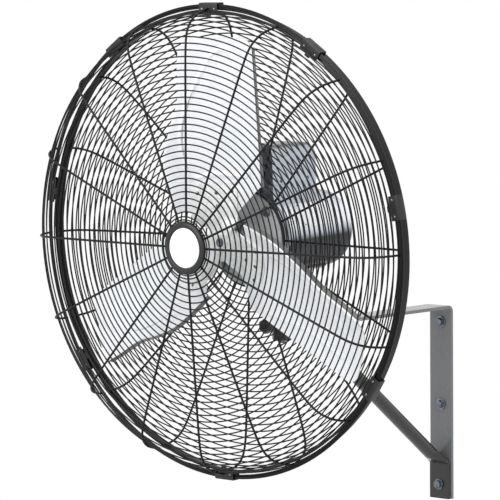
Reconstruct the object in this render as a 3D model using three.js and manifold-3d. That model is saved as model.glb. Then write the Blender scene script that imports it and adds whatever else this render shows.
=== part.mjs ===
// Wall mounted air circulator: a guarded three-blade fan head on a bent flat-bar wall arm.
// Millimetres, +Z up. The wall is the plane Y = 0 and the fan blows toward -Y.
// The origin lies on the back of the wall plate, midway between its upper two bolts.
// The head is modelled about its own axis: Y along the shaft (back positive), Y = 0 at the rim ring.
import * as THREE from "three";
import { mergeVertices } from "three/addons/utils/BufferGeometryUtils.js";
import Module from "manifold-3d";

const wasm = await Module();
wasm.setup();

// ---- driving dimensions -------------------------------------------------------------------
const GAP = 0.3;                 // between touching or turned pieces
const THROUGH = 5;               // how far a cutter runs past what it cuts

// wall arm
const BAR_WIDTH = 50.8;
const BAR_THICK = 6.35;
const BEND_INNER = 6;
const STRAP_TOP = 112;           // height of the strap's upper face
const PLATE_LENGTH = 370;
const PIVOT_REACH = 463;         // wall to the swivel axis
const WALL_BOLTS = [STRAP_TOP - 33, STRAP_TOP - 190, STRAP_TOP - PLATE_LENGTH + 27];
const WALL_HOLE_RADIUS = 5.2;
const WALL_SHANK_RADIUS = 4.8;

// diagonal brace, a tube with flattened ends
const BRACE_RADIUS = 12.7;
const BRACE_BORE = 10.9;
const BRACE_FLAT_THICK = 6;
const BRACE_FLAT_WIDTH = 46;
const BRACE_TOP_REACH = PIVOT_REACH - 74;                // wall to the upper bend
const BRACE_FOOT_DROP = PLATE_LENGTH - STRAP_TOP - 68;   // origin down to the lower bend
const BRACE_TAB_LENGTH = 36;
const BRACE_SQUASH_LENGTH = 34;  // from the round tube to its flattened end
const BRACE_BOLT_RADIUS = 4.8;
const DRAIN_RADIUS = 3;

// swivel and tilt hardware
const SPIGOT_RADIUS = 13;
const SPIGOT_BORE = 4.3;
const SOCKET_RADIUS = SPIGOT_RADIUS + 5;
const SOCKET_TOP = STRAP_TOP + 24;
const SOCKET_BOTTOM = STRAP_TOP - 24;
const SWIVEL_PLATE_RADIUS = SOCKET_RADIUS + 5;
const SWIVEL_PLATE_THICK = 8;
const EAR_GAP = 36;
const EAR_THICK = 5;
const EAR_RADIUS = 15;
const TILT_HEIGHT = STRAP_TOP + 56;
const TILT_BOLT_RADIUS = 4.8;
const KNOB_RADIUS = 14;
const PAN_KNOB_HEIGHT = STRAP_TOP + 3.4;
const PAN_KNOB_REACH = SOCKET_RADIUS + 10;   // swivel axis to the back of the knob
const PAN_STUD_RADIUS = 4;

// guards, as depths along the axis and radii from it
const WIRE_RADIUS = 2.2;
const GUARD_SPOKES = 8;
const FIRST_SPOKE = 22.5;        // degrees clockwise from the top
const RIM_INNER = 407;
const RIM_OUTER = RIM_INNER + 9;
const RIM_FRONT = 6;
const RIM_BACK = RIM_FRONT + 5;
const FACE_RADIUS = RIM_INNER - 52;
const FRONT_RING_SHARES = [0.307, 0.516, 0.725, 0.909];   // of the rim's inner radius
const REAR_RING_SHARES = [0.381, 0.585, 0.786, 0.971];
const HUB_RING_RADIUS = 40;
const FRONT_CENTRE = -70;        // face of the front guard at its hub
const FRONT_EDGE = -56;          // and where it turns back to the rim
const REAR_CENTRE = 88;
const REAR_EDGE = 66;
const REAR_WALL_RADIUS = RIM_INNER - 5;
const REAR_FRONT_RING = RIM_BACK + GAP + WIRE_RADIUS;
const BAND_THICK = 2.2;
const BAND_FRONT = REAR_FRONT_RING + 3.5;
const BAND_BACK = BAND_FRONT + 19;
const BELL_FRONT = REAR_CENTRE + WIRE_RADIUS + 3.8;       // face of the motor's flange
const CLIP_ANGLES = [0, 34, 79, 124, 180, 236, 281, 326];
const CLIP_WIDTH = 42;
const CLIP_THICK = 1.6;
const BADGE_RADIUS = 46.5;
const BADGE_DEPTH = 7;
const DISC_RADIUS = 35;

// motor
const MOTOR_SEGMENTS = 24;       // shared, so that the turned motor pieces keep their gaps
const MOTOR_RADIUS = 69;
const SHELL_WALL = 2.5;
const SHELL_FRONT = BELL_FRONT + 30;
const SHELL_LENGTH = 146;
const SHELL_REAR = SHELL_FRONT + SHELL_LENGTH;
const BELL_WALL = 4;
const BELL_REAR = SHELL_REAR + 36;
const FLANGE_RADIUS = MOTOR_RADIUS + 11;
const FLANGE_THICK = 7;
const BEARING_RADIUS = 20;
const BEARING_LENGTH = 12;
const SHAFT_RADIUS = 8;
const SHAFT_FRONT = 12;
const STATOR_BORE = 38;
const CORE_FRONT = SHELL_FRONT + 32;
const CORE_REAR = SHELL_REAR - 32;
const WINDING_OUTER = MOTOR_RADIUS - 9;
const WINDING_INNER = 43;
const WINDING_LENGTH = 20;
const SADDLE_THICK = 4;
const SADDLE_FRONT = SHELL_FRONT + 8;
const SADDLE_REAR = SHELL_REAR - 8;
const SADDLE_HALF_WIDTH = 31;
const SADDLE_SCREW_RADIUS = 2.6;
const LABEL_FRONT = SHELL_FRONT + 40;
const LABEL_REAR = SHELL_REAR - 28;

// head pose: the rim ring lies ahead of the tilt bolt, and the axis above it
const HEAD_TILT = 2.1;           // degrees, front down
const PIVOT_TO_RIM = 174;
const PIVOT_TO_AXIS = MOTOR_RADIUS + 41;

// box on the motor
const BOX_FRONT = SHELL_FRONT - 10;
const BOX_REAR = BOX_FRONT + 117;
const BOX_HALF_WIDTH = 40;
const BOX_SEAM = MOTOR_RADIUS + 23;
const BOX_TOP = BOX_SEAM + 70;
const BOX_WALL = 2;
const BOX_ROUND = 16;
const CAPACITOR_RADIUS = 18;
const COVER_SCREW_RADIUS = 1.8;
const SWITCH_BUSH_RADIUS = 5;
const GLAND_RADIUS = 9;
const GLAND_HEIGHT = BOX_SEAM - 11;

// plates that clamp the rear guard to the motor's flange
const CLAMP_RING_RADIUS = FLANGE_RADIUS - 3;
const PLATE_RADIUS = FLANGE_RADIUS + 3;
const PLATE_THICK = 2.5;
const PLATE_BORE = 30;
const GUARD_BOLT_CIRCLE = MOTOR_RADIUS + 1;
const GUARD_BOLT_RADIUS = 3.8;

// rotor
const BLADE_COUNT = 3;
const BLADE_PITCH = 23;          // degrees
const ROOT_TRAIL = 53;           // radius of the blade's root at its trailing corner
const ROOT_LEAD = 97;            // and at its leading corner
const ROOT_SLANT = 0.7;          // share of the chord where the root turns outward
const BLADE_TIP = RIM_INNER - 50;
const BLADE_THICK = 1.6;
const BLADE_CAMBER = 12;
const BLADE_FLANGE = 12;
const TIP_ROUND = 18;
const BLADE_CENTRE = 10.5;        // where the blades cross the axis
const ARM_TIP = 107;
const ARM_THICK = 3;
const ARM_TRAIL = -49;
const ARM_LEAD = 36;
const HUB_RADIUS = 17;
const HUB_FRONT = 14;
const HUB_REAR = 56;
const SPIDER_RADIUS = 34;
const SET_SCREW_BACK = 48;
const SET_SCREW_TURN = -30;       // from +X, halfway between two blades
const SET_SCREW_RADIUS = 3;

const rad = THREE.MathUtils.degToRad;

// ---- finishes -----------------------------------------------------------------------------
function finish(color, roughness, metalness) {
  return new THREE.MeshStandardMaterial({ color, roughness, metalness });
}
const blackWire = finish(0x222326, 0.45, 0.2);
const blackPlastic = finish(0x1c1c1e, 0.5, 0.0);
const greyPaint = finish(0x747678, 0.4, 0.6);
const darkPaint = finish(0x3a3935, 0.4, 0.5);
const motorPaint = finish(0xa9b0bc, 0.35, 0.6);
const platedSteel = finish(0xc4c8cc, 0.25, 0.9);
const aluminium = finish(0xe4e6e8, 0.3, 0.8);
const plateGrey = finish(0xa8a9a5, 0.5, 0.3);
const white = finish(0xf4f4f2, 0.5, 0.0);
const copper = finish(0xb87333, 0.35, 0.9);
const lamination = finish(0x6b6e72, 0.5, 0.8);

// ---- solids -------------------------------------------------------------------------------
function solidOf(geometry) {
  const bare = new THREE.BufferGeometry();
  bare.setAttribute("position", geometry.getAttribute("position"));
  if (geometry.index) bare.setIndex(geometry.index);
  const merged = mergeVertices(bare, 1e-4);
  const triVerts = [];
  for (let i = 0; i < merged.index.count; i += 3) {
    const [a, b, c] = [0, 1, 2].map((k) => merged.index.getX(i + k));
    if (a !== b && b !== c && c !== a) triVerts.push(a, b, c);
  }
  const build = (corners) => new wasm.Manifold(new wasm.Mesh({
    numProp: 3,
    vertProperties: new Float32Array(merged.getAttribute("position").array),
    triVerts: new Uint32Array(corners),
  }));
  const solid = build(triVerts);
  return solid.volume() < 0 ? build(triVerts.reverse()) : solid;
}

function geometryOf(solid) {
  const mesh = solid.getMesh();
  const geometry = new THREE.BufferGeometry();
  geometry.setAttribute("position", new THREE.BufferAttribute(mesh.vertProperties, 3));
  geometry.setIndex(new THREE.BufferAttribute(mesh.triVerts, 1));
  geometry.computeVertexNormals();
  return geometry;
}

const unite = (solids) => solids.reduce((sum, solid) => sum.add(solid));
const place = (geometry, x, y, z) => geometry.translate(x, y, z);

// box between two corners
function block(x0, x1, y0, y1, z0, z1) {
  const geometry = new THREE.BoxGeometry(x1 - x0, y1 - y0, z1 - z0);
  return solidOf(place(geometry, (x0 + x1) / 2, (y0 + y1) / 2, (z0 + z1) / 2));
}

// cylinder along Y about the point (x, z)
function rodY(radius, y0, y1, x = 0, z = 0, sides = 24) {
  const geometry = new THREE.CylinderGeometry(radius, radius, y1 - y0, sides);
  return solidOf(place(geometry, x, (y0 + y1) / 2, z));
}

function rodZ(radius, z0, z1, x = 0, y = 0, sides = 24) {
  const geometry = new THREE.CylinderGeometry(radius, radius, z1 - z0, sides).rotateX(Math.PI / 2);
  return solidOf(place(geometry, x, y, (z0 + z1) / 2));
}

function rodX(radius, x0, x1, y = 0, z = 0, sides = 24) {
  const geometry = new THREE.CylinderGeometry(radius, radius, x1 - x0, sides).rotateZ(Math.PI / 2);
  return solidOf(place(geometry, (x0 + x1) / 2, y, z));
}

// turned about Y; the outline is [radius, y] points that start and end on the axis
function turned(outline, segments = 32) {
  return solidOf(new THREE.LatheGeometry(outline.map(([r, y]) => new THREE.Vector2(r, y)), segments));
}

// closed ring turned about Y from an outline that closes on itself
function turnedRing(outline, segments = 32) {
  return turned([...outline, outline[0]], segments);
}

function wireRing(radius, y, wire, segments) {
  return turnedRing([
    [radius + wire, y], [radius, y + wire], [radius - wire, y], [radius, y - wire],
  ], segments);
}

// flat outline in the (a, b) plane, extruded by `depth` along +Z
function extruded(points, depth) {
  const shape = new THREE.Shape(points.map(([a, b]) => new THREE.Vector2(a, b)));
  return new THREE.ExtrudeGeometry(shape, { depth, bevelEnabled: false });
}

// outline in the (y, z) plane, extruded from x0 to x1
function yzExtrusion(points, x0, x1) {
  const geometry = extruded(points, x1 - x0);
  geometry.applyMatrix4(new THREE.Matrix4().set(0, 0, 1, x0, 1, 0, 0, 0, 0, 1, 0, 0, 0, 0, 0, 1));
  return solidOf(geometry);
}

// outline in the (radius, y) plane, standing up from the axis, `width` wide about X = 0
function radialExtrusion(points, width) {
  const geometry = extruded(points, width).translate(0, 0, -width / 2);
  geometry.applyMatrix4(new THREE.Matrix4().set(0, 0, 1, 0, 0, 1, 0, 0, 1, 0, 0, 0, 0, 0, 0, 1));
  return solidOf(geometry);
}

// tube about Y between two radii
function ring(outer, inner, y0, y1, segments) {
  return turnedRing([[outer, y0], [outer, y1], [inner, y1], [inner, y0]], segments);
}

// points of an arc about (a, b), from one angle to another in degrees
function arcPoints(a, b, radius, from, to, steps) {
  return Array.from({ length: steps + 1 }, (_, i) => {
    const angle = rad(from + ((to - from) * i) / steps);
    return [a + radius * Math.cos(angle), b + radius * Math.sin(angle)];
  });
}

const spin = (solid, degrees) => solid.rotate([0, degrees, 0]);
const cut = (solid, tools) => tools.reduce((rest, tool) => rest.subtract(tool), solid);

// ---- scene graph --------------------------------------------------------------------------
const group = new THREE.Group();
const yokeGroup = new THREE.Group();
yokeGroup.position.set(0, -PIVOT_REACH, 0);
group.add(yokeGroup);
const tiltGroup = new THREE.Group();
tiltGroup.position.set(0, 0, TILT_HEIGHT);
tiltGroup.rotation.x = rad(HEAD_TILT);
yokeGroup.add(tiltGroup);
const head = new THREE.Group();
head.position.set(0, -PIVOT_TO_RIM, PIVOT_TO_AXIS);
tiltGroup.add(head);

function piece(parent, name, material, solid) {
  const mesh = new THREE.Mesh(geometryOf(solid), material);
  mesh.name = name;
  parent.add(mesh);
}

// ---- fasteners ----------------------------------------------------------------------------
// a fastener stands along +Y with its seat at y = 0, head toward -Y and shank toward +Y
function hexBolt(shank, length, headRadius, headHeight, washerRadius) {
  const washerThick = 1.8;
  return unite([
    rodY(shank, -1, length, 0, 0, 12),
    rodY(washerRadius, -washerThick, 0, 0, 0, 16),
    rodY(headRadius, -washerThick - headHeight, -washerThick + 0.1, 0, 0, 6),
  ]);
}

function domeBolt(shank, length, headRadius, headHeight) {
  return turned([
    [0, -headHeight], [headRadius * 0.55, -headHeight * 0.85], [headRadius * 0.9, -headHeight * 0.45],
    [headRadius, 0], [shank, 0], [shank, length], [0, length],
  ], 10);
}

// a lobed knob along +Y: its grip toward -Y, its stud toward +Y
function lobedKnob(radius, gripLength, studRadius, studLength) {
  const lobes = 6;
  const hollowRadius = radius * 0.28;
  const knob = turned([
    [0, -gripLength], [radius * 0.8, -gripLength], [radius, -gripLength * 0.8], [radius, -gripLength * 0.3],
    [radius * 0.55, 0], [studRadius, 0], [studRadius, studLength], [0, studLength],
  ], 18);
  return cut(knob, arcPoints(0, 0, radius * 1.12, 180 / lobes, 360 - 180 / lobes, lobes - 1).map(([x, z]) => (
    rodY(hollowRadius, -gripLength - THROUGH, -gripLength * 0.25, x, z, 8)
  )));
}

// ---- wall arm -----------------------------------------------------------------------------
// side outline of the bent bar in the (y, z) plane, with an arc on both sides of the bend
function barOutline(pivotEnd) {
  const outer = BEND_INNER + BAR_THICK;
  const bottom = STRAP_TOP - PLATE_LENGTH;
  return [
    [-BAR_THICK, bottom], [0, bottom], ...arcPoints(-outer, STRAP_TOP - outer, outer, 0, 90, 5),
    [-pivotEnd, STRAP_TOP], [-pivotEnd, STRAP_TOP - BAR_THICK],
    ...arcPoints(-outer, STRAP_TOP - outer, BEND_INNER, 90, 0, 5),
  ];
}

const braceBoltReach = BRACE_TOP_REACH + BRACE_TAB_LENGTH * 0.55;

function wallArm() {
  const bottom = STRAP_TOP - BAR_THICK - THROUGH;
  const top = STRAP_TOP + THROUGH;
  return cut(yzExtrusion(barOutline(PIVOT_REACH), -BAR_WIDTH / 2, BAR_WIDTH / 2), [
    ...WALL_BOLTS.map((z) => rodY(WALL_HOLE_RADIUS, -BAR_THICK - THROUGH, THROUGH, 0, z, 14)),
    rodZ(BRACE_BOLT_RADIUS + GAP, bottom, top, 0, -braceBoltReach),
    rodZ(SOCKET_RADIUS + GAP, bottom, top, 0, -PIVOT_REACH, 24),
  ]);
}

// loft through elliptic sections that stand square to a path in the (y, z) plane
function loft(stations) {
  const sides = 16;
  const positions = [];
  const index = [];
  stations.forEach(({ y, z, ny, nz, halfWidth, halfThick, flat }) => {
    for (let k = 0; k < sides; k += 1) {
      const a = (2 * Math.PI * (k + 0.5)) / sides;
      const power = 1 - 0.7 * flat;
      const c = Math.sign(Math.cos(a)) * Math.abs(Math.cos(a)) ** power;
      const s = Math.sign(Math.sin(a)) * Math.abs(Math.sin(a)) ** power;
      positions.push(halfWidth * c, y + ny * halfThick * s, z + nz * halfThick * s);
    }
  });
  for (let i = 0; i + 1 < stations.length; i += 1) {
    for (let k = 0; k < sides; k += 1) {
      const a = i * sides + k;
      const b = i * sides + ((k + 1) % sides);
      index.push(a, b, b + sides, a, b + sides, a + sides);
    }
  }
  const last = (stations.length - 1) * sides;
  for (let k = 1; k + 1 < sides; k += 1) {
    index.push(0, k + 1, k);
    index.push(last, last + k, last + k + 1);
  }
  const geometry = new THREE.BufferGeometry();
  geometry.setAttribute("position", new THREE.Float32BufferAttribute(positions, 3));
  geometry.setIndex(index);
  return solidOf(geometry);
}

function braceTube() {
  const half = BRACE_FLAT_THICK / 2;
  const topZ = STRAP_TOP - BAR_THICK - GAP - half;
  const footY = -BAR_THICK - GAP - half;
  const bends = [new THREE.Vector2(-BRACE_TOP_REACH, topZ), new THREE.Vector2(footY, -BRACE_FOOT_DROP)];
  const along = bends[1].clone().sub(bends[0]);
  const length = along.length();
  along.normalize();
  const across = new THREE.Vector2(-along.y, along.x);
  const flatEnd = { halfWidth: BRACE_FLAT_WIDTH / 2, halfThick: half, flat: 1 };
  const mitre = (square) => {
    const m = across.clone().add(square).normalize();
    return m.multiplyScalar(1 / m.dot(across));
  };
  const topMitre = mitre(new THREE.Vector2(0, 1));
  const footMitre = mitre(new THREE.Vector2(1, 0));
  const stations = [
    { y: bends[0].x - BRACE_TAB_LENGTH, z: topZ, ny: 0, nz: 1, ...flatEnd },
    { y: bends[0].x, z: topZ, ny: topMitre.x, nz: topMitre.y, ...flatEnd },
  ];
  const squash = [[0.15, 0.95, 0.3], [0.5, 0.6, 0.6], [1, 0, 1]];
  const section = (distance, share) => {
    const p = bends[0].clone().addScaledVector(along, distance);
    return {
      y: p.x, z: p.y, ny: across.x, nz: across.y, flat: share,
      halfWidth: BRACE_RADIUS + (BRACE_FLAT_WIDTH / 2 - BRACE_RADIUS) * share,
      halfThick: BRACE_RADIUS + (half - BRACE_RADIUS) * share,
    };
  };
  squash.forEach(([at, share]) => stations.push(section(BRACE_SQUASH_LENGTH * at + half, share)));
  [...squash].reverse().forEach(([at, share]) => {
    stations.push(section(length - BRACE_SQUASH_LENGTH * at - half, share));
  });
  stations.push({ y: bends[1].x, z: bends[1].y, ny: footMitre.x, nz: footMitre.y, ...flatEnd });
  stations.push({ y: bends[1].x, z: STRAP_TOP - PLATE_LENGTH, ny: 1, nz: 0, ...flatEnd });
  let tube = loft(stations);
  const boreFrom = BRACE_SQUASH_LENGTH + half + 1;
  const boreLength = length - 2 * boreFrom;
  const middle = bends[0].clone().add(bends[1]).multiplyScalar(0.5);
  const angle = Math.atan2(along.y, along.x);
  const bore = new THREE.CylinderGeometry(BRACE_BORE, BRACE_BORE, boreLength, 16).rotateX(angle);
  tube = tube.subtract(solidOf(place(bore, 0, middle.x, middle.y)));
  const drain = bends[0].clone().addScaledVector(along, length - boreFrom - 12);
  tube = tube.subtract(rodZ(DRAIN_RADIUS, drain.y - BRACE_RADIUS * 2, drain.y, 0, drain.x, 12));
  const topHole = rodZ(BRACE_BOLT_RADIUS + GAP, topZ - THROUGH, topZ + THROUGH, 0, -braceBoltReach);
  const footHole = rodY(WALL_HOLE_RADIUS, footY - THROUGH, footY + THROUGH, 0, WALL_BOLTS[2], 14);
  return tube.subtract(topHole).subtract(footHole);
}

piece(group, "wall_arm", greyPaint, wallArm());
piece(group, "brace_tube", darkPaint, braceTube());

WALL_BOLTS.forEach((z, i) => {
  const onBrace = i === WALL_BOLTS.length - 1;
  const seat = onBrace ? -BAR_THICK - 2 * GAP - BRACE_FLAT_THICK : -BAR_THICK - GAP;
  const bolt = hexBolt(WALL_SHANK_RADIUS, -seat - GAP, 8, 6, onBrace ? 10.5 : 12);
  piece(group, `wall_bolt_${i + 1}`, platedSteel, bolt.translate([0, seat, z]));
});

const braceStack = BAR_THICK + BRACE_FLAT_THICK + 2 * GAP;
const braceBolt = hexBolt(BRACE_BOLT_RADIUS, braceStack + 12, 8.5, 5.5, 11).rotate([-90, 0, 0]);
piece(group, "brace_bolt", platedSteel, braceBolt.translate([0, -braceBoltReach, STRAP_TOP + GAP]));
const nutTop = STRAP_TOP - braceStack;
const braceNut = rodZ(8.5, nutTop - 8, nutTop, 0, -braceBoltReach, 6)
  .subtract(rodZ(BRACE_BOLT_RADIUS + GAP, nutTop - 20, nutTop + THROUGH, 0, -braceBoltReach, 16));
piece(group, "brace_nut", platedSteel, braceNut);

// ---- swivel -------------------------------------------------------------------------------
function swivelSocket() {
  const collar = rodZ(SOCKET_RADIUS, SOCKET_BOTTOM, SOCKET_TOP, 0, 0, 24);
  const bore = rodZ(SPIGOT_RADIUS + GAP, SOCKET_BOTTOM - THROUGH, SOCKET_TOP + THROUGH, 0, 0, 24);
  const studHole = rodY(PAN_STUD_RADIUS + GAP, -SOCKET_RADIUS - THROUGH, 0, 0, PAN_KNOB_HEIGHT, 12);
  return collar.subtract(bore).subtract(studHole);
}

const yokeBase = SOCKET_TOP + GAP;
const earOuter = EAR_GAP / 2 + EAR_THICK;

function swivelYoke() {
  const spigot = rodZ(SPIGOT_RADIUS, SOCKET_BOTTOM, yokeBase + 1, 0, 0, 24);
  const plate = rodZ(SWIVEL_PLATE_RADIUS, yokeBase, yokeBase + SWIVEL_PLATE_THICK, 0, 0, 24);
  const ears = [-1, 1].map((side) => {
    const x0 = side < 0 ? -earOuter : EAR_GAP / 2;
    const x1 = x0 + EAR_THICK;
    const web = block(x0, x1, -EAR_RADIUS, EAR_RADIUS, yokeBase + SWIVEL_PLATE_THICK - 3, TILT_HEIGHT);
    return web.add(rodX(EAR_RADIUS, x0, x1, 0, TILT_HEIGHT, 20));
  });
  const bore = rodX(TILT_BOLT_RADIUS + GAP, -earOuter - THROUGH, earOuter + THROUGH, 0, TILT_HEIGHT, 16);
  const tap = rodZ(SPIGOT_BORE, SOCKET_BOTTOM - THROUGH, SOCKET_BOTTOM + 24, 0, 0, 16);
  return unite([spigot, plate, ...ears]).subtract(bore).subtract(tap);
}

piece(yokeGroup, "swivel_socket", darkPaint, swivelSocket());
piece(yokeGroup, "swivel_yoke", darkPaint, swivelYoke());

const spigotScrew = hexBolt(SPIGOT_BORE - GAP, 20, 6.5, 4.5, SPIGOT_RADIUS + 3).rotate([90, 0, 0]);
piece(yokeGroup, "spigot_screw", platedSteel, spigotScrew.translate([0, 0, SOCKET_BOTTOM - GAP]));

const panStud = PAN_KNOB_REACH - SPIGOT_RADIUS - GAP;
const panKnob = lobedKnob(KNOB_RADIUS, 24, PAN_STUD_RADIUS, panStud)
  .translate([0, -PAN_KNOB_REACH, PAN_KNOB_HEIGHT]);
piece(yokeGroup, "pan_knob", blackPlastic, panKnob);

const tiltSeat = earOuter + GAP;
const tiltBolt = hexBolt(TILT_BOLT_RADIUS, 2 * tiltSeat + 5, 8.5, 5.5, 11).rotate([0, 0, -90]);
piece(yokeGroup, "tilt_bolt", platedSteel, tiltBolt.translate([-tiltSeat, 0, TILT_HEIGHT]));
const tiltKnobHole = rodY(TILT_BOLT_RADIUS + GAP, -8, THROUGH, 0, 0, 16);
const tiltKnob = lobedKnob(KNOB_RADIUS, 20, TILT_BOLT_RADIUS + 3, 1).subtract(tiltKnobHole)
  .rotate([0, 0, 90]).translate([tiltSeat + 1 + GAP, 0, TILT_HEIGHT]);
piece(yokeGroup, "tilt_knob", blackPlastic, tiltKnob);

// ---- motor --------------------------------------------------------------------------------
const saddleScrewPlaces = [SADDLE_FRONT + 12, SADDLE_REAR - 12];
const seatRadius = BEARING_RADIUS + GAP;
const shaftClear = SHAFT_RADIUS + 1.5;

function motorShell() {
  const inner = MOTOR_RADIUS - SHELL_WALL;
  const shell = ring(MOTOR_RADIUS, inner, SHELL_FRONT, SHELL_REAR, MOTOR_SEGMENTS);
  return cut(shell, saddleScrewPlaces.map((y) => (
    rodZ(SADDLE_SCREW_RADIUS + GAP, -MOTOR_RADIUS - THROUGH, -inner + THROUGH, 0, y, 12)
  )));
}

function frontBell() {
  const lip = SHELL_FRONT - GAP;
  const flangeBack = BELL_FRONT + FLANGE_THICK;
  const seat = BELL_FRONT + BELL_WALL;
  const seatEnd = seat + BEARING_LENGTH;
  const body = turnedRing([
    [shaftClear, BELL_FRONT], [FLANGE_RADIUS, BELL_FRONT], [FLANGE_RADIUS, flangeBack],
    [MOTOR_RADIUS, flangeBack], [MOTOR_RADIUS, lip], [MOTOR_RADIUS - BELL_WALL, lip],
    [MOTOR_RADIUS - BELL_WALL, flangeBack], [seatRadius + BELL_WALL, flangeBack],
    [seatRadius + BELL_WALL, seatEnd], [seatRadius, seatEnd], [seatRadius, seat], [shaftClear, seat],
  ], MOTOR_SEGMENTS);
  return cut(body, guardBoltPlaces().map(([x, z]) => (
    rodY(GUARD_BOLT_RADIUS + GAP, BELL_FRONT - THROUGH, flangeBack + THROUGH, x, z, 12)
  )));
}

function rearBell() {
  const lip = SHELL_REAR + GAP;
  const curve = 14;
  const seat = BELL_REAR - BELL_WALL;
  const seatEnd = seat - BEARING_LENGTH - 1;
  return turnedRing([
    [MOTOR_RADIUS, lip], [MOTOR_RADIUS, BELL_REAR - curve - 4], [MOTOR_RADIUS - 4, BELL_REAR - curve + 5],
    [MOTOR_RADIUS - curve, BELL_REAR - 4], [MOTOR_RADIUS - curve * 2.2, BELL_REAR],
    [shaftClear + 2, BELL_REAR], [shaftClear + 2, seat], [seatRadius, seat], [seatRadius, seatEnd],
    [seatRadius + BELL_WALL, seatEnd], [seatRadius + BELL_WALL, seat - 1],
    [MOTOR_RADIUS - curve - BELL_WALL, seat - 4], [MOTOR_RADIUS - BELL_WALL, BELL_REAR - curve - 6],
    [MOTOR_RADIUS - BELL_WALL, lip],
  ], MOTOR_SEGMENTS);
}

function bearing(y0) {
  return turnedRing([[BEARING_RADIUS, y0], [BEARING_RADIUS, y0 + BEARING_LENGTH],
    [SHAFT_RADIUS + GAP, y0 + BEARING_LENGTH], [SHAFT_RADIUS + GAP, y0]], 24);
}

function guardBoltPlaces() {
  const c = GUARD_BOLT_CIRCLE / Math.SQRT2;
  return [[c, c], [c, -c], [-c, -c], [-c, c]];
}

const motorInner = MOTOR_RADIUS - SHELL_WALL - GAP;

piece(head, "front_bell", motorPaint, frontBell());
piece(head, "motor_shell", motorPaint, motorShell());
piece(head, "rear_bell", motorPaint, rearBell());
piece(head, "front_bearing", platedSteel, bearing(BELL_FRONT + BELL_WALL + GAP));
piece(head, "rear_bearing", platedSteel, bearing(BELL_REAR - BELL_WALL - GAP - BEARING_LENGTH));
piece(head, "stator_core", lamination, ring(motorInner, STATOR_BORE, CORE_FRONT, CORE_REAR, MOTOR_SEGMENTS));
piece(head, "front_winding", copper,
  ring(WINDING_OUTER, WINDING_INNER, CORE_FRONT - GAP - WINDING_LENGTH, CORE_FRONT - GAP, 24));
piece(head, "rear_winding", copper,
  ring(WINDING_OUTER, WINDING_INNER, CORE_REAR + GAP, CORE_REAR + GAP + WINDING_LENGTH, 24));

// bare plate on the shell's right flank, where such a motor carries its data
function labelPlate() {
  const inner = MOTOR_RADIUS + GAP;
  const sleeve = ring(inner + 0.8, inner, LABEL_FRONT, LABEL_REAR, MOTOR_SEGMENTS);
  const depth = LABEL_REAR - LABEL_FRONT + 2;
  const sides = [[0, 0], [2, 0.47], [1.6, 2]].map(([x, z]) => [x * MOTOR_RADIUS, z * MOTOR_RADIUS]);
  const wedge = solidOf(extruded(sides, depth).rotateX(Math.PI / 2).translate(0, LABEL_REAR + 1, 0));
  return sleeve.intersect(wedge);
}
piece(head, "label_plate", white, labelPlate());

const saddleInner = MOTOR_RADIUS + GAP;

function motorSaddle() {
  const outer = saddleInner + SADDLE_THICK;
  const half = SADDLE_HALF_WIDTH;
  const below = block(-half, half, SADDLE_FRONT - 1, SADDLE_REAR + 1, -outer - 1, 0);
  const cradle = ring(outer, saddleInner, SADDLE_FRONT, SADDLE_REAR, MOTOR_SEGMENTS).intersect(below);
  const [lugFront, lugBack] = [PIVOT_TO_RIM - EAR_RADIUS, PIVOT_TO_RIM + EAR_RADIUS];
  const lugs = [-1, 1].map((side) => {
    const x0 = side < 0 ? -EAR_GAP / 2 + GAP : EAR_GAP / 2 - GAP - EAR_THICK;
    const x1 = x0 + EAR_THICK;
    const eye = rodX(EAR_RADIUS, x0, x1, PIVOT_TO_RIM, -PIVOT_TO_AXIS, 20);
    const web = block(x0, x1, lugFront, lugBack, -PIVOT_TO_AXIS, -outer + 4.5);
    return eye.add(web).subtract(rodY(saddleInner, SADDLE_FRONT, SADDLE_REAR, 0, 0, MOTOR_SEGMENTS));
  });
  const boltBore = rodX(TILT_BOLT_RADIUS + GAP, -EAR_GAP, EAR_GAP, PIVOT_TO_RIM, -PIVOT_TO_AXIS, 16);
  const screwHoles = saddleScrewPlaces.map((y) => (
    rodZ(SADDLE_SCREW_RADIUS + GAP, -outer - THROUGH, -saddleInner + THROUGH, 0, y, 12)
  ));
  return cut(unite([cradle, ...lugs]), [boltBore, ...screwHoles]);
}

piece(head, "motor_saddle", darkPaint, motorSaddle());
saddleScrewPlaces.forEach((y, i) => {
  const seat = -saddleInner - SADDLE_THICK - GAP;
  const screw = hexBolt(SADDLE_SCREW_RADIUS, SADDLE_THICK + SHELL_WALL + 2 * GAP, 4.5, 3.5, 6.5);
  piece(head, `saddle_screw_${i + 1}`, platedSteel, screw.rotate([90, 0, 0]).translate([0, y, seat]));
});

// ---- box on the motor ---------------------------------------------------------------------
// rounded box: the outline in the (x, z) plane has round top corners
function arch(halfWidth, bottom, top, round, y0, y1) {
  const outline = [
    [-halfWidth, bottom], [halfWidth, bottom], ...arcPoints(halfWidth - round, top - round, round, 0, 90, 5),
    ...arcPoints(round - halfWidth, top - round, round, 90, 180, 5),
  ];
  return solidOf(extruded(outline, y1 - y0).rotateX(Math.PI / 2).translate(0, y1, 0));
}

// side outline in the (y, z) plane with a large rear and a small front top corner
function sideArch(inset) {
  const [front, rear] = [BOX_FRONT + inset, BOX_REAR - inset];
  const top = BOX_TOP - inset;
  const small = BOX_ROUND / 2 - inset;
  const large = BOX_ROUND * 1.6 - inset;
  const outline = [
    [front, BOX_SEAM], [rear, BOX_SEAM], ...arcPoints(rear - large, top - large, large, 0, 90, 6),
    ...arcPoints(front + small, top - small, small, 90, 180, 6),
  ];
  return yzExtrusion(outline, -BOX_HALF_WIDTH * 2, BOX_HALF_WIDTH * 2);
}

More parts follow.
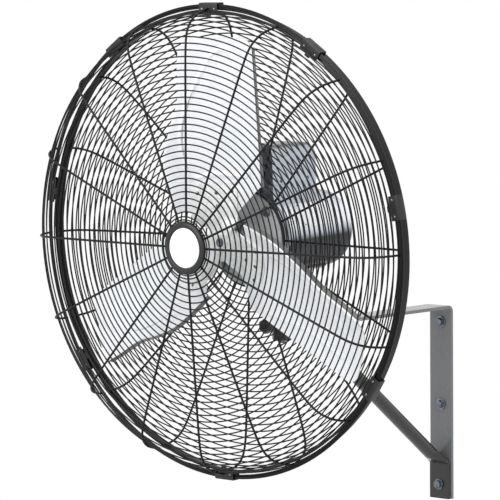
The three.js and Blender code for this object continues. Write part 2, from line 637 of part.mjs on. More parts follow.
const coverScrewPlaces = [BOX_FRONT + 23.5, BOX_REAR - 23.5].map((y) => [BOX_HALF_WIDTH, y]);
const coverBase = BOX_SEAM + GAP;
const switchHeight = BOX_SEAM + 30;

function boxCover() {
  const [wide, tall, round] = [BOX_HALF_WIDTH - BOX_WALL, BOX_TOP - BOX_WALL, BOX_ROUND - BOX_WALL];
  const outside = arch(BOX_HALF_WIDTH, BOX_SEAM, BOX_TOP, BOX_ROUND, BOX_FRONT, BOX_REAR);
  const inside = arch(wide, BOX_SEAM - 2, tall, round, BOX_FRONT, BOX_REAR).intersect(sideArch(BOX_WALL));
  const side = BOX_HALF_WIDTH * 2;
  return cut(outside.intersect(sideArch(0)), [
    inside,
    block(-side, side, BOX_FRONT - 1, BOX_REAR + 1, BOX_SEAM - THROUGH, coverBase),
    rodY(SWITCH_BUSH_RADIUS + GAP, BOX_REAR - THROUGH, BOX_REAR + THROUGH, 0, switchHeight, 16),
    ...coverScrewPlaces.map(([x, y]) => (
      rodX(COVER_SCREW_RADIUS + GAP, x - THROUGH, x + THROUGH, y, coverBase + 6, 12)
    )),
  ]);
}

function boxBase() {
  const wall = BOX_WALL + 1;
  const deck = 4;
  const low = MOTOR_RADIUS / 2;
  const outside = block(-BOX_HALF_WIDTH, BOX_HALF_WIDTH, BOX_FRONT, BOX_REAR, low, BOX_SEAM);
  const inner = BOX_HALF_WIDTH - wall;
  const pocket = block(-inner, inner, BOX_FRONT + wall, BOX_REAR - wall, low, BOX_SEAM - deck);
  const tabs = coverScrewPlaces.map(([x, y]) => {
    const outer = x - BOX_WALL - GAP;
    return block(outer - 6, outer, y - 5, y + 5, BOX_SEAM - 1, coverBase + 12);
  });
  return cut(unite([outside.subtract(pocket), ...tabs]), [
    rodY(MOTOR_RADIUS + GAP, BOX_FRONT - THROUGH, BOX_REAR + THROUGH, 0, 0, MOTOR_SEGMENTS),
    rodZ(7, BOX_SEAM - deck - THROUGH, BOX_SEAM + THROUGH, -27, BOX_FRONT + 14, 16),
    rodY(GLAND_RADIUS * 0.7 + GAP, BOX_REAR - THROUGH, BOX_REAR + THROUGH, -24, GLAND_HEIGHT, 16),
    ...coverScrewPlaces.map(([x, y]) => rodX(COVER_SCREW_RADIUS + GAP, x - 12, x + 12, y, coverBase + 6, 12)),
  ]);
}

function cordGland() {
  const seat = BOX_REAR + GAP;
  const body = unite([
    rodY(GLAND_RADIUS, seat, seat + 6, 0, 0, 6),
    rodY(GLAND_RADIUS * 0.85, seat + 5, seat + 16, 0, 0, 20),
    rodY(GLAND_RADIUS * 0.7, BOX_REAR - 6, seat + 1, 0, 0, 20),
  ]);
  return body.subtract(rodY(3.8, BOX_REAR - 10, seat + 20, 0, 0, 16)).translate([-24, 0, GLAND_HEIGHT]);
}

piece(head, "box_base", motorPaint, boxBase());
piece(head, "box_cover", motorPaint, boxCover());
coverScrewPlaces.forEach(([x, y], i) => {
  const screw = domeBolt(COVER_SCREW_RADIUS, 7, 3.6, 2).rotate([0, 0, 90]);
  piece(head, `cover_screw_${i + 1}`, platedSteel, screw.translate([x + GAP, y, coverBase + 6]));
});
piece(head, "cord_gland", blackPlastic, cordGland());

const capacitorHeight = BOX_SEAM + GAP + CAPACITOR_RADIUS;
piece(head, "run_capacitor", blackPlastic,
  rodY(CAPACITOR_RADIUS, BOX_FRONT + 12, BOX_FRONT + 74, 8, capacitorHeight, 24));

const switchFront = BOX_REAR - BOX_WALL - GAP;
const speedSwitch = block(-14, 14, switchFront - 22, switchFront, switchHeight - 12, switchHeight + 12)
  .add(rodY(SWITCH_BUSH_RADIUS, switchFront - 1, BOX_REAR + 5, 0, switchHeight, 20))
  .subtract(rodY(3 + GAP, BOX_REAR - 4, BOX_REAR + 9, 0, switchHeight, 16));
piece(head, "speed_switch", blackPlastic, speedSwitch);

// pointer knob on the box's rear face
function speedKnob() {
  const seat = BOX_REAR + 5 + GAP;
  const grip = turned([[0, seat], [14, seat], [14, seat + 4], [11, seat + 15], [0, seat + 15]], 24);
  const stem = rodY(3, BOX_REAR - 4 + GAP, seat + 1, 0, 0, 12);
  const pointer = block(-1.5, 1.5, seat + 1, seat + 16.5, 4, 13.5);
  return unite([grip, stem, pointer]).translate([0, 0, switchHeight]);
}
piece(head, "speed_knob", blackPlastic, speedKnob());

// ---- guards -------------------------------------------------------------------------------
// centre lines of the spokes as [radius, y]
const frontLine = [
  [HUB_RING_RADIUS, FRONT_CENTRE], [FACE_RADIUS, FRONT_EDGE], [RIM_INNER - 27, FRONT_EDGE + 8],
  [RIM_INNER - 11, FRONT_EDGE + 24], [RIM_INNER - 3, FRONT_EDGE + 44], [RIM_INNER + 1, RIM_BACK],
];
const rearLine = [
  [CLAMP_RING_RADIUS, REAR_CENTRE], [FACE_RADIUS - 5, REAR_EDGE], [RIM_INNER - 25, REAR_EDGE - 8],
  [RIM_INNER - 10, REAR_EDGE - 22], [REAR_WALL_RADIUS, REAR_EDGE - 38], [REAR_WALL_RADIUS, REAR_FRONT_RING],
];

function depthAt(line, radius) {
  const i = line.findIndex(([r], k) => k > 0 && r >= radius);
  const [[r0, y0], [r1, y1]] = [line[i - 1], line[i]];
  return y0 + ((y1 - y0) * (radius - r0)) / (r1 - r0);
}

// one spoke: a square bar of the wire's size along the line, standing up from the axis
function spoke(line) {
  const w = WIRE_RADIUS * 0.9;
  const normals = line.map((_, i) => {
    const [a, b] = [line[Math.max(i - 1, 0)], line[Math.min(i + 1, line.length - 1)]];
    const d = new THREE.Vector2(b[0] - a[0], b[1] - a[1]).normalize();
    return [-d.y, d.x];
  });
  const side = (sign) => line.map(([r, y], i) => (
    [r + sign * w * normals[i][0], y + sign * w * normals[i][1]]
  ));
  return radialExtrusion([...side(-1), ...side(1).reverse()], 2 * w);
}

function guard(line, ringShares) {
  const ringRadii = ringShares.map((share) => share * RIM_INNER);
  const segments = (r) => (r < FACE_RADIUS * 0.7 ? 24 : 32);
  const rings = ringRadii.map((r) => wireRing(r, depthAt(line, r), WIRE_RADIUS, segments(r)));
  const angle = (k) => FIRST_SPOKE + (360 * k) / GUARD_SPOKES;
  const spokes = Array.from({ length: GUARD_SPOKES }, (_, k) => spin(spoke(line), angle(k)));
  return unite([...rings, ...spokes]);
}

function frontGuard() {
  const [front, back] = [FRONT_CENTRE - WIRE_RADIUS, FRONT_CENTRE + WIRE_RADIUS];
  const plate = rodY(HUB_RING_RADIUS + 2, front, back, 0, 0, 24);
  const rim = ring(RIM_OUTER, RIM_INNER, RIM_FRONT, RIM_BACK, 48);
  return unite([guard(frontLine, FRONT_RING_SHARES), plate, rim]);
}

function rearGuard() {
  const front = wireRing(REAR_WALL_RADIUS, REAR_FRONT_RING, WIRE_RADIUS, 48);
  const clamped = wireRing(CLAMP_RING_RADIUS, REAR_CENTRE, WIRE_RADIUS, 24);
  return unite([guard(rearLine, REAR_RING_SHARES), front, clamped]);
}

function plateDisc(y0) {
  const y1 = y0 + PLATE_THICK;
  return cut(ring(PLATE_RADIUS, PLATE_BORE, y0, y1, MOTOR_SEGMENTS), guardBoltPlaces().map(([x, z]) => (
    rodY(GUARD_BOLT_RADIUS + GAP, y0 - THROUGH, y1 + THROUGH, x, z, 12)
  )));
}

const clampRearSeat = BELL_FRONT - GAP - PLATE_THICK;
const clampFrontSeat = REAR_CENTRE - WIRE_RADIUS - GAP - PLATE_THICK;
piece(head, "front_guard", blackWire, frontGuard());
piece(head, "rear_guard", blackWire, rearGuard());
piece(head, "guard_plate", plateGrey, plateDisc(clampFrontSeat));
piece(head, "clamp_plate", plateGrey, plateDisc(clampRearSeat));
guardBoltPlaces().forEach(([x, z], i) => {
  const length = BELL_FRONT + FLANGE_THICK - clampFrontSeat;
  piece(head, `guard_bolt_${i + 1}`, platedSteel,
    domeBolt(GUARD_BOLT_RADIUS, length, 9.5, 6).translate([x, clampFrontSeat - GAP, z]));
});

const bandInner = REAR_WALL_RADIUS + WIRE_RADIUS + GAP;
const bandOuter = bandInner + BAND_THICK;
piece(head, "rim_band", blackWire, ring(bandOuter, bandInner, BAND_FRONT, BAND_BACK, 48));

// clip over the rim: a front leg, a web along the outside and a hook that rests on the band
function rimClip(degrees) {
  const legBack = RIM_FRONT - GAP;
  const legFront = legBack - CLIP_THICK;
  const web = RIM_OUTER + GAP;
  const hook = BAND_FRONT + 5;
  const rest = bandOuter + GAP;
  const outline = [
    [RIM_INNER - 7, legFront], [web + CLIP_THICK, legFront], [web + CLIP_THICK, hook], [rest, hook],
    [rest, hook - CLIP_THICK], [web, hook - CLIP_THICK], [web, legBack], [RIM_INNER - 7, legBack],
  ];
  return spin(radialExtrusion(outline, CLIP_WIDTH), degrees);
}
CLIP_ANGLES.forEach((degrees, i) => piece(head, `rim_clip_${i + 1}`, blackPlastic, rimClip(degrees)));

// ---- badge --------------------------------------------------------------------------------
const badgeSeat = FRONT_CENTRE - WIRE_RADIUS - GAP;
const badgeFront = badgeSeat - BADGE_DEPTH;
piece(head, "badge_ring", blackPlastic, turnedRing([
  [BADGE_RADIUS, badgeSeat], [DISC_RADIUS + GAP, badgeSeat], [DISC_RADIUS + GAP, badgeFront + 2],
  [DISC_RADIUS + 3, badgeFront], [BADGE_RADIUS - 5, badgeFront], [BADGE_RADIUS - 1, badgeFront + 3],
], 24));
piece(head, "badge_disc", white, turned([
  [0, badgeFront - 1.5], [DISC_RADIUS * 0.5, badgeFront - 1], [DISC_RADIUS * 0.85, badgeFront + 0.5],
  [DISC_RADIUS, badgeFront + 2.5], [DISC_RADIUS, badgeSeat], [0, badgeSeat],
], 24));

// ---- rotor --------------------------------------------------------------------------------
// outline of a blade seen along the axis, as the trailing and leading edge at each radius;
// the trailing edge runs through a smooth curve, the leading edge is straight
const trailShape = [
  [0, -71], [0.138, -83], [0.286, -89.5], [0.451, -80.5], [0.648, -64], [0.845, -62.5], [1, -58.5],
];
const trailCurve = new THREE.CatmullRomCurve3(trailShape.map(([share, t]) => (
  new THREE.Vector3(ROOT_TRAIL + (BLADE_TIP - ROOT_TRAIL) * share, t, 0)
)));
const trailSamples = trailCurve.getPoints(60);

function trailAt(radius) {
  const i = trailSamples.findIndex((p, k) => k > 0 && p.x >= radius);
  if (i < 0) return trailSamples[trailSamples.length - 1].y;
  const [a, b] = [trailSamples[i - 1], trailSamples[i]];
  return a.y + ((b.y - a.y) * (radius - a.x)) / (b.x - a.x);
}
const leadAt = (radius) => 77.5 - 0.04 * (radius - ROOT_LEAD);
// the root runs square to the radius, then slants out to the leading corner
const rootAt = (u) => (
  ROOT_TRAIL + (ROOT_LEAD - ROOT_TRAIL) * Math.max(0, (u - ROOT_SLANT) / (1 - ROOT_SLANT))
);

// a point of the pitched and cambered blade surface: s along the chord, n off the surface
function bladePoint(s, radius, n, pitch) {
  const half = 84;
  const middle = -12;
  const arcHeight = BLADE_CAMBER * Math.max(-0.3, 1 - ((s - middle) / half) ** 2);
  const off = arcHeight + n;
  const p = rad(pitch);
  return new THREE.Vector3(
    s * Math.cos(p) - off * Math.sin(p),
    BLADE_CENTRE + s * Math.sin(p) + off * Math.cos(p),
    radius,
  );
}

// thick sheet from a grid of points, offset to both sides of the surface
function sheet(grid, thick) {
  const rows = grid.length;
  const cols = grid[0].length;
  const normal = (i, j) => {
    const du = grid[i][Math.min(j + 1, cols - 1)].clone().sub(grid[i][Math.max(j - 1, 0)]);
    const dv = grid[Math.min(i + 1, rows - 1)][j].clone().sub(grid[Math.max(i - 1, 0)][j]);
    return du.cross(dv).normalize();
  };
  const positions = [];
  for (const sign of [-1, 1]) {
    for (let i = 0; i < rows; i += 1) {
      for (let j = 0; j < cols; j += 1) {
        const p = grid[i][j].clone().addScaledVector(normal(i, j), (sign * thick) / 2);
        positions.push(p.x, p.y, p.z);
      }
    }
  }
  const at = (layer, i, j) => layer * rows * cols + i * cols + j;
  const index = [];
  const quad = (a, b, c, d) => index.push(a, b, c, a, c, d);
  for (let i = 0; i + 1 < rows; i += 1) {
    for (let j = 0; j + 1 < cols; j += 1) {
      quad(at(1, i, j), at(1, i, j + 1), at(1, i + 1, j + 1), at(1, i + 1, j));
      quad(at(0, i, j), at(0, i + 1, j), at(0, i + 1, j + 1), at(0, i, j + 1));
    }
  }
  for (let j = 0; j + 1 < cols; j += 1) {
    quad(at(0, 0, j), at(0, 0, j + 1), at(1, 0, j + 1), at(1, 0, j));
    quad(at(1, rows - 1, j), at(1, rows - 1, j + 1), at(0, rows - 1, j + 1), at(0, rows - 1, j));
  }
  for (let i = 0; i + 1 < rows; i += 1) {
    quad(at(1, i, 0), at(1, i + 1, 0), at(0, i + 1, 0), at(0, i, 0));
    quad(at(0, i, cols - 1), at(0, i + 1, cols - 1), at(1, i + 1, cols - 1), at(1, i, cols - 1));
  }
  const geometry = new THREE.BufferGeometry();
  geometry.setAttribute("position", new THREE.Float32BufferAttribute(positions, 3));
  geometry.setIndex(index);
  return solidOf(geometry);
}

// grid of the blade's middle surface, with a return flange along both long edges
function bladeGrid(rows, cols) {
  const slant = 1 / Math.cos(rad(BLADE_PITCH));
  return Array.from({ length: rows + 1 }, (_, i) => {
    const face = Array.from({ length: cols + 1 }, (__, j) => {
      const u = j / cols;
      const edge = Math.min(1, Math.max(0, Math.abs(2 * u - 1) - 0.7) / 0.3);
      const tip = BLADE_TIP - TIP_ROUND * (1 - Math.sqrt(1 - edge ** 2));
      const root = rootAt(u);
      const radius = root + ((tip - root) * i) / rows;
      const t = trailAt(radius) + (leadAt(radius) - trailAt(radius)) * u;
      return { s: t * slant, radius };
    });
    const flange = ({ s, radius }) => bladePoint(s, radius, BLADE_FLANGE, BLADE_PITCH);
    const points = face.map(({ s, radius }) => bladePoint(s, radius, 0, BLADE_PITCH));
    return [flange(face[0]), ...points, flange(face[cols])];
  });
}

const bladeAngle = (k) => (360 * k) / BLADE_COUNT;
const blade = sheet(bladeGrid(8, 8), BLADE_THICK);

// stamped spider: a flat hub plate whose arms twist up to the blades' pitch
function spiderArm() {
  const rows = 7;
  const cols = 6;
  const gapToBlade = (BLADE_THICK + ARM_THICK) / 2 + GAP;
  const grid = Array.from({ length: rows + 1 }, (_, i) => Array.from({ length: cols + 1 }, (__, j) => {
    const u = j / cols;
    const edge = Math.min(1, Math.max(0, Math.abs(2 * u - 1) - 0.2) / 0.8);
    const tip = ARM_TIP - 16 * (1 - Math.sqrt(1 - edge ** 2));
    const radius = 12 + ((tip - 12) * i) / rows;
    const twist = THREE.MathUtils.smoothstep(radius, 16, 42);
    const wide = 0.55 + 0.45 * twist;
    const middle = ((ARM_TRAIL + ARM_LEAD) / 2) * twist;
    const s = middle + (ARM_LEAD - ARM_TRAIL) * wide * (u - 0.5);
    return bladePoint(s, radius, -gapToBlade, BLADE_PITCH * twist);
  }));
  return sheet(grid, ARM_THICK);
}

function hubSpider() {
  const arm = spiderArm();
  const arms = Array.from({ length: BLADE_COUNT }, (_, k) => spin(arm, bladeAngle(k)));
  const plateAt = bladePoint(0, 0, -(BLADE_THICK + ARM_THICK) / 2 - GAP, 0).y;
  const barrel = rodY(HUB_RADIUS, HUB_FRONT, HUB_REAR, 0, 0, 20);
  const plate = rodY(SPIDER_RADIUS, plateAt - ARM_THICK / 2 - 1, plateAt + ARM_THICK / 2 + 1, 0, 0, 24);
  const bore = rodY(SHAFT_RADIUS + GAP, HUB_FRONT - 20, HUB_REAR + THROUGH, 0, 0, 24);
  const tapped = spin(
    rodX(SET_SCREW_RADIUS + GAP, 0, HUB_RADIUS + THROUGH, SET_SCREW_BACK, 0, 12),
    SET_SCREW_TURN,
  );
  return unite([...arms, barrel, plate]).subtract(bore).subtract(tapped);
}

const setScrewAlongX = rodX(SET_SCREW_RADIUS, SHAFT_RADIUS + GAP, HUB_RADIUS, SET_SCREW_BACK, 0, 12)
  .add(rodX(5, HUB_RADIUS + GAP, HUB_RADIUS + 6, SET_SCREW_BACK, 0, 6))
  .add(rodX(SET_SCREW_RADIUS, HUB_RADIUS - 1, HUB_RADIUS + 1, SET_SCREW_BACK, 0, 12));

for (let k = 0; k < BLADE_COUNT; k += 1) {
  piece(head, `blade_${k + 1}`, aluminium, spin(blade, bladeAngle(k)));
}
piece(head, "hub_spider", plateGrey, hubSpider());
piece(head, "set_screw", platedSteel, spin(setScrewAlongX, SET_SCREW_TURN));

function rotorShaft() {
  const end = BELL_REAR - BELL_WALL - 2;
  return turned([[0, SHAFT_FRONT], [SHAFT_RADIUS - 1, SHAFT_FRONT], [SHAFT_RADIUS, SHAFT_FRONT + 1],
    [SHAFT_RADIUS, end], [0, end]], 24);
}
piece(head, "rotor_shaft", platedSteel, rotorShaft());
piece(head, "rotor_core", lamination, ring(STATOR_BORE - 0.8, SHAFT_RADIUS + GAP, CORE_FRONT, CORE_REAR, 24));

export default group;
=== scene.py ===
"""Looks of a wall mounted air circulator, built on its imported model.

The head's pieces are worked out in millimetres in the head's own frame: Y runs back along the shaft
from the rim, Z up. An angle about the shaft is measured clockwise from the top, seen from the front.
"""
import math

import bmesh
import bpy
import numpy as np
from bpy.props import FloatProperty, FloatVectorProperty, IntProperty, PointerProperty
from mathutils import Matrix, Vector


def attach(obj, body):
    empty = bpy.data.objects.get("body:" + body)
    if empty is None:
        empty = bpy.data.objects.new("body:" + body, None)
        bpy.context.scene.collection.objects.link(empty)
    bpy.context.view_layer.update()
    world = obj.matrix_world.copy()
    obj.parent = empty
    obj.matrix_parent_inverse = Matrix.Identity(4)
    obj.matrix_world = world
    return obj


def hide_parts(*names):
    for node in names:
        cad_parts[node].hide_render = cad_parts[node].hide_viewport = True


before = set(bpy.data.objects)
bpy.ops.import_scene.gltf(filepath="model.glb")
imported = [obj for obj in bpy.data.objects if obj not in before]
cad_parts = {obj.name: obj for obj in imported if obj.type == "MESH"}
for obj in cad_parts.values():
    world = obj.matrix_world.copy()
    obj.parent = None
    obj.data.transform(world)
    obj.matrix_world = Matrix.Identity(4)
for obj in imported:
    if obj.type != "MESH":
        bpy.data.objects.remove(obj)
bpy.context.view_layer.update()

bl_info = {
    "name": "Wall fan looks",
    "version": (1, 0, 0),
    "blender": (4, 5, 0),
    "location": "3D View > Sidebar > Fan",
    "description": "Builds the detailed pieces, finishes and stage of a wall mounted air circulator",
    "category": "Object",
}

TAU = 2 * math.pi
HEAD_ORIGIN = (0.0, -0.640914, 0.27155)
HEAD_TILT = math.radians(2.1)
GAP = 0.3                  # clearance between neighbouring pieces
# bracket, in the part's frame
PIVOT_REACH = 463.0        # from the wall to the swivel's axis
STRAP_TOP = 112.0
BAR_THICK = 6.35
PIPE_RADIUS = 12.7
PIPE_FLAT_HALF = 3.0       # half the thickness of the brace's flattened ends
PIPE_FLAT_WIDE = 23        # and half their width
PIPE_EASE = 44             # length over which the brace changes its section
PAN_KNOB_HEIGHT, TILT_KNOB_HEIGHT = 115.4, 168
# head, in its own frame
SHAFT_RADIUS = 8
HUB_RADIUS, HUB_FRONT, HUB_REAR = 17, 14, 56
SPIDER_RADIUS = 34
MOTOR_RADIUS, SHELL_WALL = 69, 2.5
SHELL_FRONT, SHELL_REAR = 124, 270
RIM_INNER = 407
HUB_FACE = -72.5           # depth on which the badge seats
CLIP_ANGLES = (0, 34, 79, 124, 180, 236, 281, 326)
BLADE_PITCH = math.radians(23)
BLADE_CENTRE = 10.5        # depth at which the blades cross the shaft
BLADE_ROOT, BLADE_TIP = 53, 357
ROOT_LEAD = 97             # radius of a blade's root at its leading corner
CAMBER, CAMBER_MIDDLE, CAMBER_HALF = 12, -12, 84
WINDOW = 500               # side of the camera's square picture in pixels
SPOKE_ANGLES = np.radians(np.arange(16) * 22.5)
# side lines of the guards as radius and depth
FRONT_LINE = np.array([[40, -70], [355, -56], [380, -48], [396, -32], [404, -12], [408, 8.0]])
REAR_LINE = np.array([[77, 88], [350, 66], [382, 58], [397, 44], [402, 28], [402, 13.5]])


def tone(code):
    """A colour written as six hex digits, as linear red, green and blue."""
    parts = np.array([int(code[i:i + 2], 16) for i in (0, 2, 4)]) / 255
    return tuple(np.where(parts <= 0.04045, parts / 12.92, ((parts + 0.055) / 1.055) ** 2.4).tolist())


# ---- shapes -------------------------------------------------------------------------------
def from_head(points):
    """Millimetres in the head's frame to metres in the part's: turned by the tilt about X, then moved."""
    x, y, z = np.moveaxis(np.asarray(points, float) / 1000, -1, 0)
    c, s = math.cos(HEAD_TILT), math.sin(HEAD_TILT)
    return np.stack([x, HEAD_ORIGIN[1] + y * c - z * s, HEAD_ORIGIN[2] + y * s + z * c], -1)


def from_part(points):
    """Millimetres in the part's frame to metres."""
    return np.asarray(points, float) / 1000


def about_shaft(radius, depth, angle):
    """Radius, depth and angle as a point: (r sin a, depth, r cos a)."""
    return np.stack(np.broadcast_arrays(radius * np.sin(angle), depth, radius * np.cos(angle)), -1)


def spun(points, angle):
    """Points turned about the shaft by an angle, clockwise from the front."""
    x, y, z = np.moveaxis(points, -1, 0)
    c, s = math.cos(angle), math.sin(angle)
    return np.stack([x * c + z * s, y, z * c - x * s], -1)


def surface(points, wrap_rows=False, wrap_cols=False, capped=False):
    """Quads between the neighbours of one or more grids shaped (..., rows, columns, 3).
    A wrapped direction joins its last line to its first; capped closes the end rows with a face."""
    grids = points.reshape(-1, *points.shape[-3:])
    count, rows, cols = grids.shape[:3]
    i, j = np.meshgrid(np.arange(rows - (not wrap_rows)), np.arange(cols - (not wrap_cols)), indexing="ij")
    k, m = (i + 1) % rows, (j + 1) % cols
    quads = np.stack([i * cols + j, i * cols + m, k * cols + m, k * cols + j], -1).reshape(-1, 4)
    starts = (np.arange(count) * rows * cols)[:, None, None]
    faces = [(quads + starts).reshape(-1, 4)]
    if capped:
        ends = np.stack([np.arange(cols), (rows - 1) * cols + np.arange(cols)])
        faces.append((ends + starts).reshape(-1, cols))
    return grids.reshape(-1, 3), faces


def joined(*patches):
    """Several patches of points and faces as one."""
    starts = np.cumsum([0] + [len(points) for points, _ in patches])
    faces = [block + start for (_, blocks), start in zip(patches, starts) for block in blocks]
    return np.concatenate([points for points, _ in patches]), faces


def swept(path, across, upward, section, closed=False):
    """A closed section carried along a path: point = path + a * across + b * upward."""
    a, b = section[..., 0, None], section[..., 1, None]
    points = path[..., :, None, :] + a * across[..., :, None, :] + b * upward[..., :, None, :]
    return surface(points, wrap_rows=closed, wrap_cols=True, capped=not closed)


def turned(outline, segments=128, ring=True):
    """An outline of radius and depth turned round the shaft.
    A ring's outline closes on itself; any other starts and ends on the axis."""
    angle = np.linspace(0, TAU, segments, endpoint=False)[:, None]
    points = about_shaft(outline[None, :, 0], outline[None, :, 1], angle)
    return surface(points, wrap_rows=True, wrap_cols=ring)


def circle(radius, sides):
    """A round section of a wire."""
    a = np.linspace(0, TAU, sides, endpoint=False)
    return radius * np.stack([np.cos(a), np.sin(a)], -1)


def eased(points, radius, steps=5, closed=True):
    """Corners rounded by parabolas: (1 - t)^2 a + 2 t (1 - t) p + t^2 b, where a and b lie on the
    sides next to the corner p, at the radius or 0.45 of the side, whichever is less."""
    points = np.asarray(points, float)
    radius = np.broadcast_to(np.asarray(radius, float), len(points))[:, None]
    before, after = np.roll(points, 1, 0) - points, np.roll(points, -1, 0) - points
    size = lambda v: np.linalg.norm(v, axis=-1, keepdims=True)
    a = points + before * np.minimum(radius / size(before), 0.45)
    b = points + after * np.minimum(radius / size(after), 0.45)
    t = np.linspace(0, 1, steps)[None, :, None]
    curve = (1 - t) ** 2 * a[:, None] + 2 * t * (1 - t) * points[:, None] + t ** 2 * b[:, None]
    if closed:
        return curve.reshape(-1, points.shape[1])
    return np.concatenate([points[:1], curve[1:-1].reshape(-1, points.shape[1]), points[-1:]])


def evenly(line, spacing, start=0.0):
    """Points along a polyline at equal steps of its length, from a start to its end."""
    length = np.concatenate([[0], np.cumsum(np.linalg.norm(np.diff(line, axis=0), axis=1))])
    at = np.linspace(start, length[-1], max(2, round((length[-1] - start) / spacing) + 1))
    return np.stack([np.interp(at, length, line[:, k]) for k in range(line.shape[1])], -1)


def side_normals(line):
    """Unit normals of a radius and depth line, its tangent turned a quarter."""
    tangent = np.gradient(line, axis=0)
    tangent /= np.linalg.norm(tangent, axis=1, keepdims=True)
    return np.stack([-tangent[:, 1], tangent[:, 0]], -1)


def wire_rings(radii, depths, wire, segments=160, sides=8):
    """Rings of round wire about the shaft: radius r + w cos b, depth y + w sin b."""
    angle = np.linspace(0, TAU, segments, endpoint=False)[None, :, None]
    b = np.linspace(0, TAU, sides, endpoint=False)[None, None, :]
    radius = np.asarray(radii, float)[:, None, None] + wire * np.cos(b)
    depth = np.asarray(depths, float)[:, None, None] + wire * np.sin(b)
    return surface(about_shaft(radius, depth, angle), wrap_rows=True, wrap_cols=True)


def spokes(line, wire, angles, sides=10):
    """Round wires that follow a radius and depth line, one at each angle."""
    normal = side_normals(line)
    angles = np.asarray(angles)[:, None]
    path = about_shaft(line[None, :, 0], line[None, :, 1], angles)
    outward = about_shaft(normal[None, :, 0], normal[None, :, 1], angles)
    sideways = np.broadcast_to(about_shaft(1.0, 0.0, angles + TAU / 4), path.shape)
    return swept(path, outward, sideways, circle(wire, sides))


def domes(centres, axes, radius, height, steps=6, sides=16):
    """Round heads: centre + axis * h cos p + (u cos b + v sin b) * r sin p, p from 0 to a quarter turn."""
    centres, axes = np.atleast_2d(centres).astype(float), np.atleast_2d(axes).astype(float)
    axes = np.broadcast_to(axes / np.linalg.norm(axes, axis=-1, keepdims=True), centres.shape)
    helper = np.where(np.abs(axes[:, :1]) < 0.8, [[1.0, 0, 0]], [[0, 0, 1.0]])
    u = np.cross(axes, helper)
    u /= np.linalg.norm(u, axis=-1, keepdims=True)
    v = np.cross(axes, u)
    p = np.linspace(0, TAU / 4, steps)[None, :, None, None]
    b = np.linspace(0, TAU, sides, endpoint=False)[None, None, :, None]
    spread = u[:, None, None] * np.cos(b) + v[:, None, None] * np.sin(b)
    points = centres[:, None, None] + axes[:, None, None] * height * np.cos(p) + spread * radius * np.sin(p)
    return surface(points, wrap_cols=True, capped=True)


def thick_sheet(middle, thickness):
    """A sheet with walls round it: each point of the grid moved half the thickness both ways along
    the cross product of the grid's two directions."""
    normal = np.cross(np.gradient(middle, axis=1), np.gradient(middle, axis=0))
    normal /= np.linalg.norm(normal, axis=-1, keepdims=True)
    rows, cols = middle.shape[:2]
    index = np.arange(rows * cols).reshape(rows, cols)
    quads = np.stack([index[:-1, :-1], index[:-1, 1:], index[1:, 1:], index[1:, :-1]], -1).reshape(-1, 4)
    rim = np.concatenate([index[0, :-1], index[:-1, -1], index[-1, :0:-1], index[:0:-1, 0]])
    far = rows * cols
    wall = np.stack([rim, np.roll(rim, -1), np.roll(rim, -1) + far, rim + far], -1)
    points = np.concatenate([(middle + normal * side * thickness / 2).reshape(-1, 3) for side in (-1, 1)])
    return points, [quads, quads + far, wall]


def smooth_between(x, xs, ys):
    """A cubic curve through points, with slopes taken from their neighbours."""
    xs, ys = np.asarray(xs, float), np.asarray(ys, float)
    slope = np.gradient(ys, xs)
    i = np.clip(np.searchsorted(xs, x) - 1, 0, len(xs) - 2)
    step = xs[i + 1] - xs[i]
    t = np.clip((x - xs[i]) / step, 0, 1)
    return ((2 * t ** 3 - 3 * t ** 2 + 1) * ys[i] + (t ** 3 - 2 * t ** 2 + t) * step * slope[i]
            + (3 * t ** 2 - 2 * t ** 3) * ys[i + 1] + (t ** 3 - t ** 2) * step * slope[i + 1])


def smoothstep(x, low, high):
    """0 below low, 1 above high, and 3 t^2 - 2 t^3 between."""
    t = np.clip((x - low) / (high - low), 0, 1)
    return t * t * (3 - 2 * t)


# ---- pieces -------------------------------------------------------------------------------
def dressed(obj, body, finish, replaces, sharp):
    """Gives a finished mesh its finish, its shading and its place in the frame.
    A finish named slot:variant is another look of that slot."""
    mesh = obj.data
    mesh.materials.clear()
    mesh.materials.append(finish_named(finish))
    mesh.polygons.foreach_set("use_smooth", np.ones(len(mesh.polygons), bool))
    mesh.set_sharp_from_angle(angle=math.radians(sharp))
    bpy.context.scene.collection.objects.link(obj)
    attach(obj, body)
    if replaces:
        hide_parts(*replaces)
    return obj


def piece(name, patch, body, finish, replaces=(), place=from_head, sharp=40, bevel=0.0):
    """A new piece from a patch, with doubles merged and faces outward."""
    points, faces = patch
    mesh = bpy.data.meshes.new(name)
    mesh.from_pydata(place(points).tolist(), [], [face for block in faces for face in block.tolist()])
    shell = bmesh.new()
    shell.from_mesh(mesh)
    bmesh.ops.remove_doubles(shell, verts=shell.verts, dist=2e-6)
    bmesh.ops.recalc_face_normals(shell, faces=shell.faces)
    shell.to_mesh(mesh)
    shell.free()
    obj = dressed(bpy.data.objects.new(name, mesh), body, finish, replaces, sharp)
    if bevel:
        add_bevel(obj, bevel)
    return obj


def add_bevel(obj, width, segments=2):
    """Rounds the sharp edges of a piece, width in millimetres."""
    bevel = obj.modifiers.new("rounded_edges", "BEVEL")
    bevel.width = width / 1000
    bevel.segments = segments
    bevel.limit_method = "ANGLE"
    bevel.angle_limit = math.radians(40)
    bevel.harden_normals = True


def softened(name, node, body, finish, width=0.5):
    """A merged copy of a CAD node, its flat faces joined and its edges rounded."""
    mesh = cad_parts[node].data.copy()
    mesh.name = name
    shell = bmesh.new()
    shell.from_mesh(mesh)
    bmesh.ops.remove_doubles(shell, verts=shell.verts, dist=1e-5)
    bmesh.ops.dissolve_limit(shell, angle_limit=math.radians(0.4), verts=shell.verts, edges=shell.edges)
    shell.to_mesh(mesh)
    shell.free()
    obj = dressed(bpy.data.objects.new(name, mesh), body, finish, (node,), 32)
    add_bevel(obj, width)
    return obj


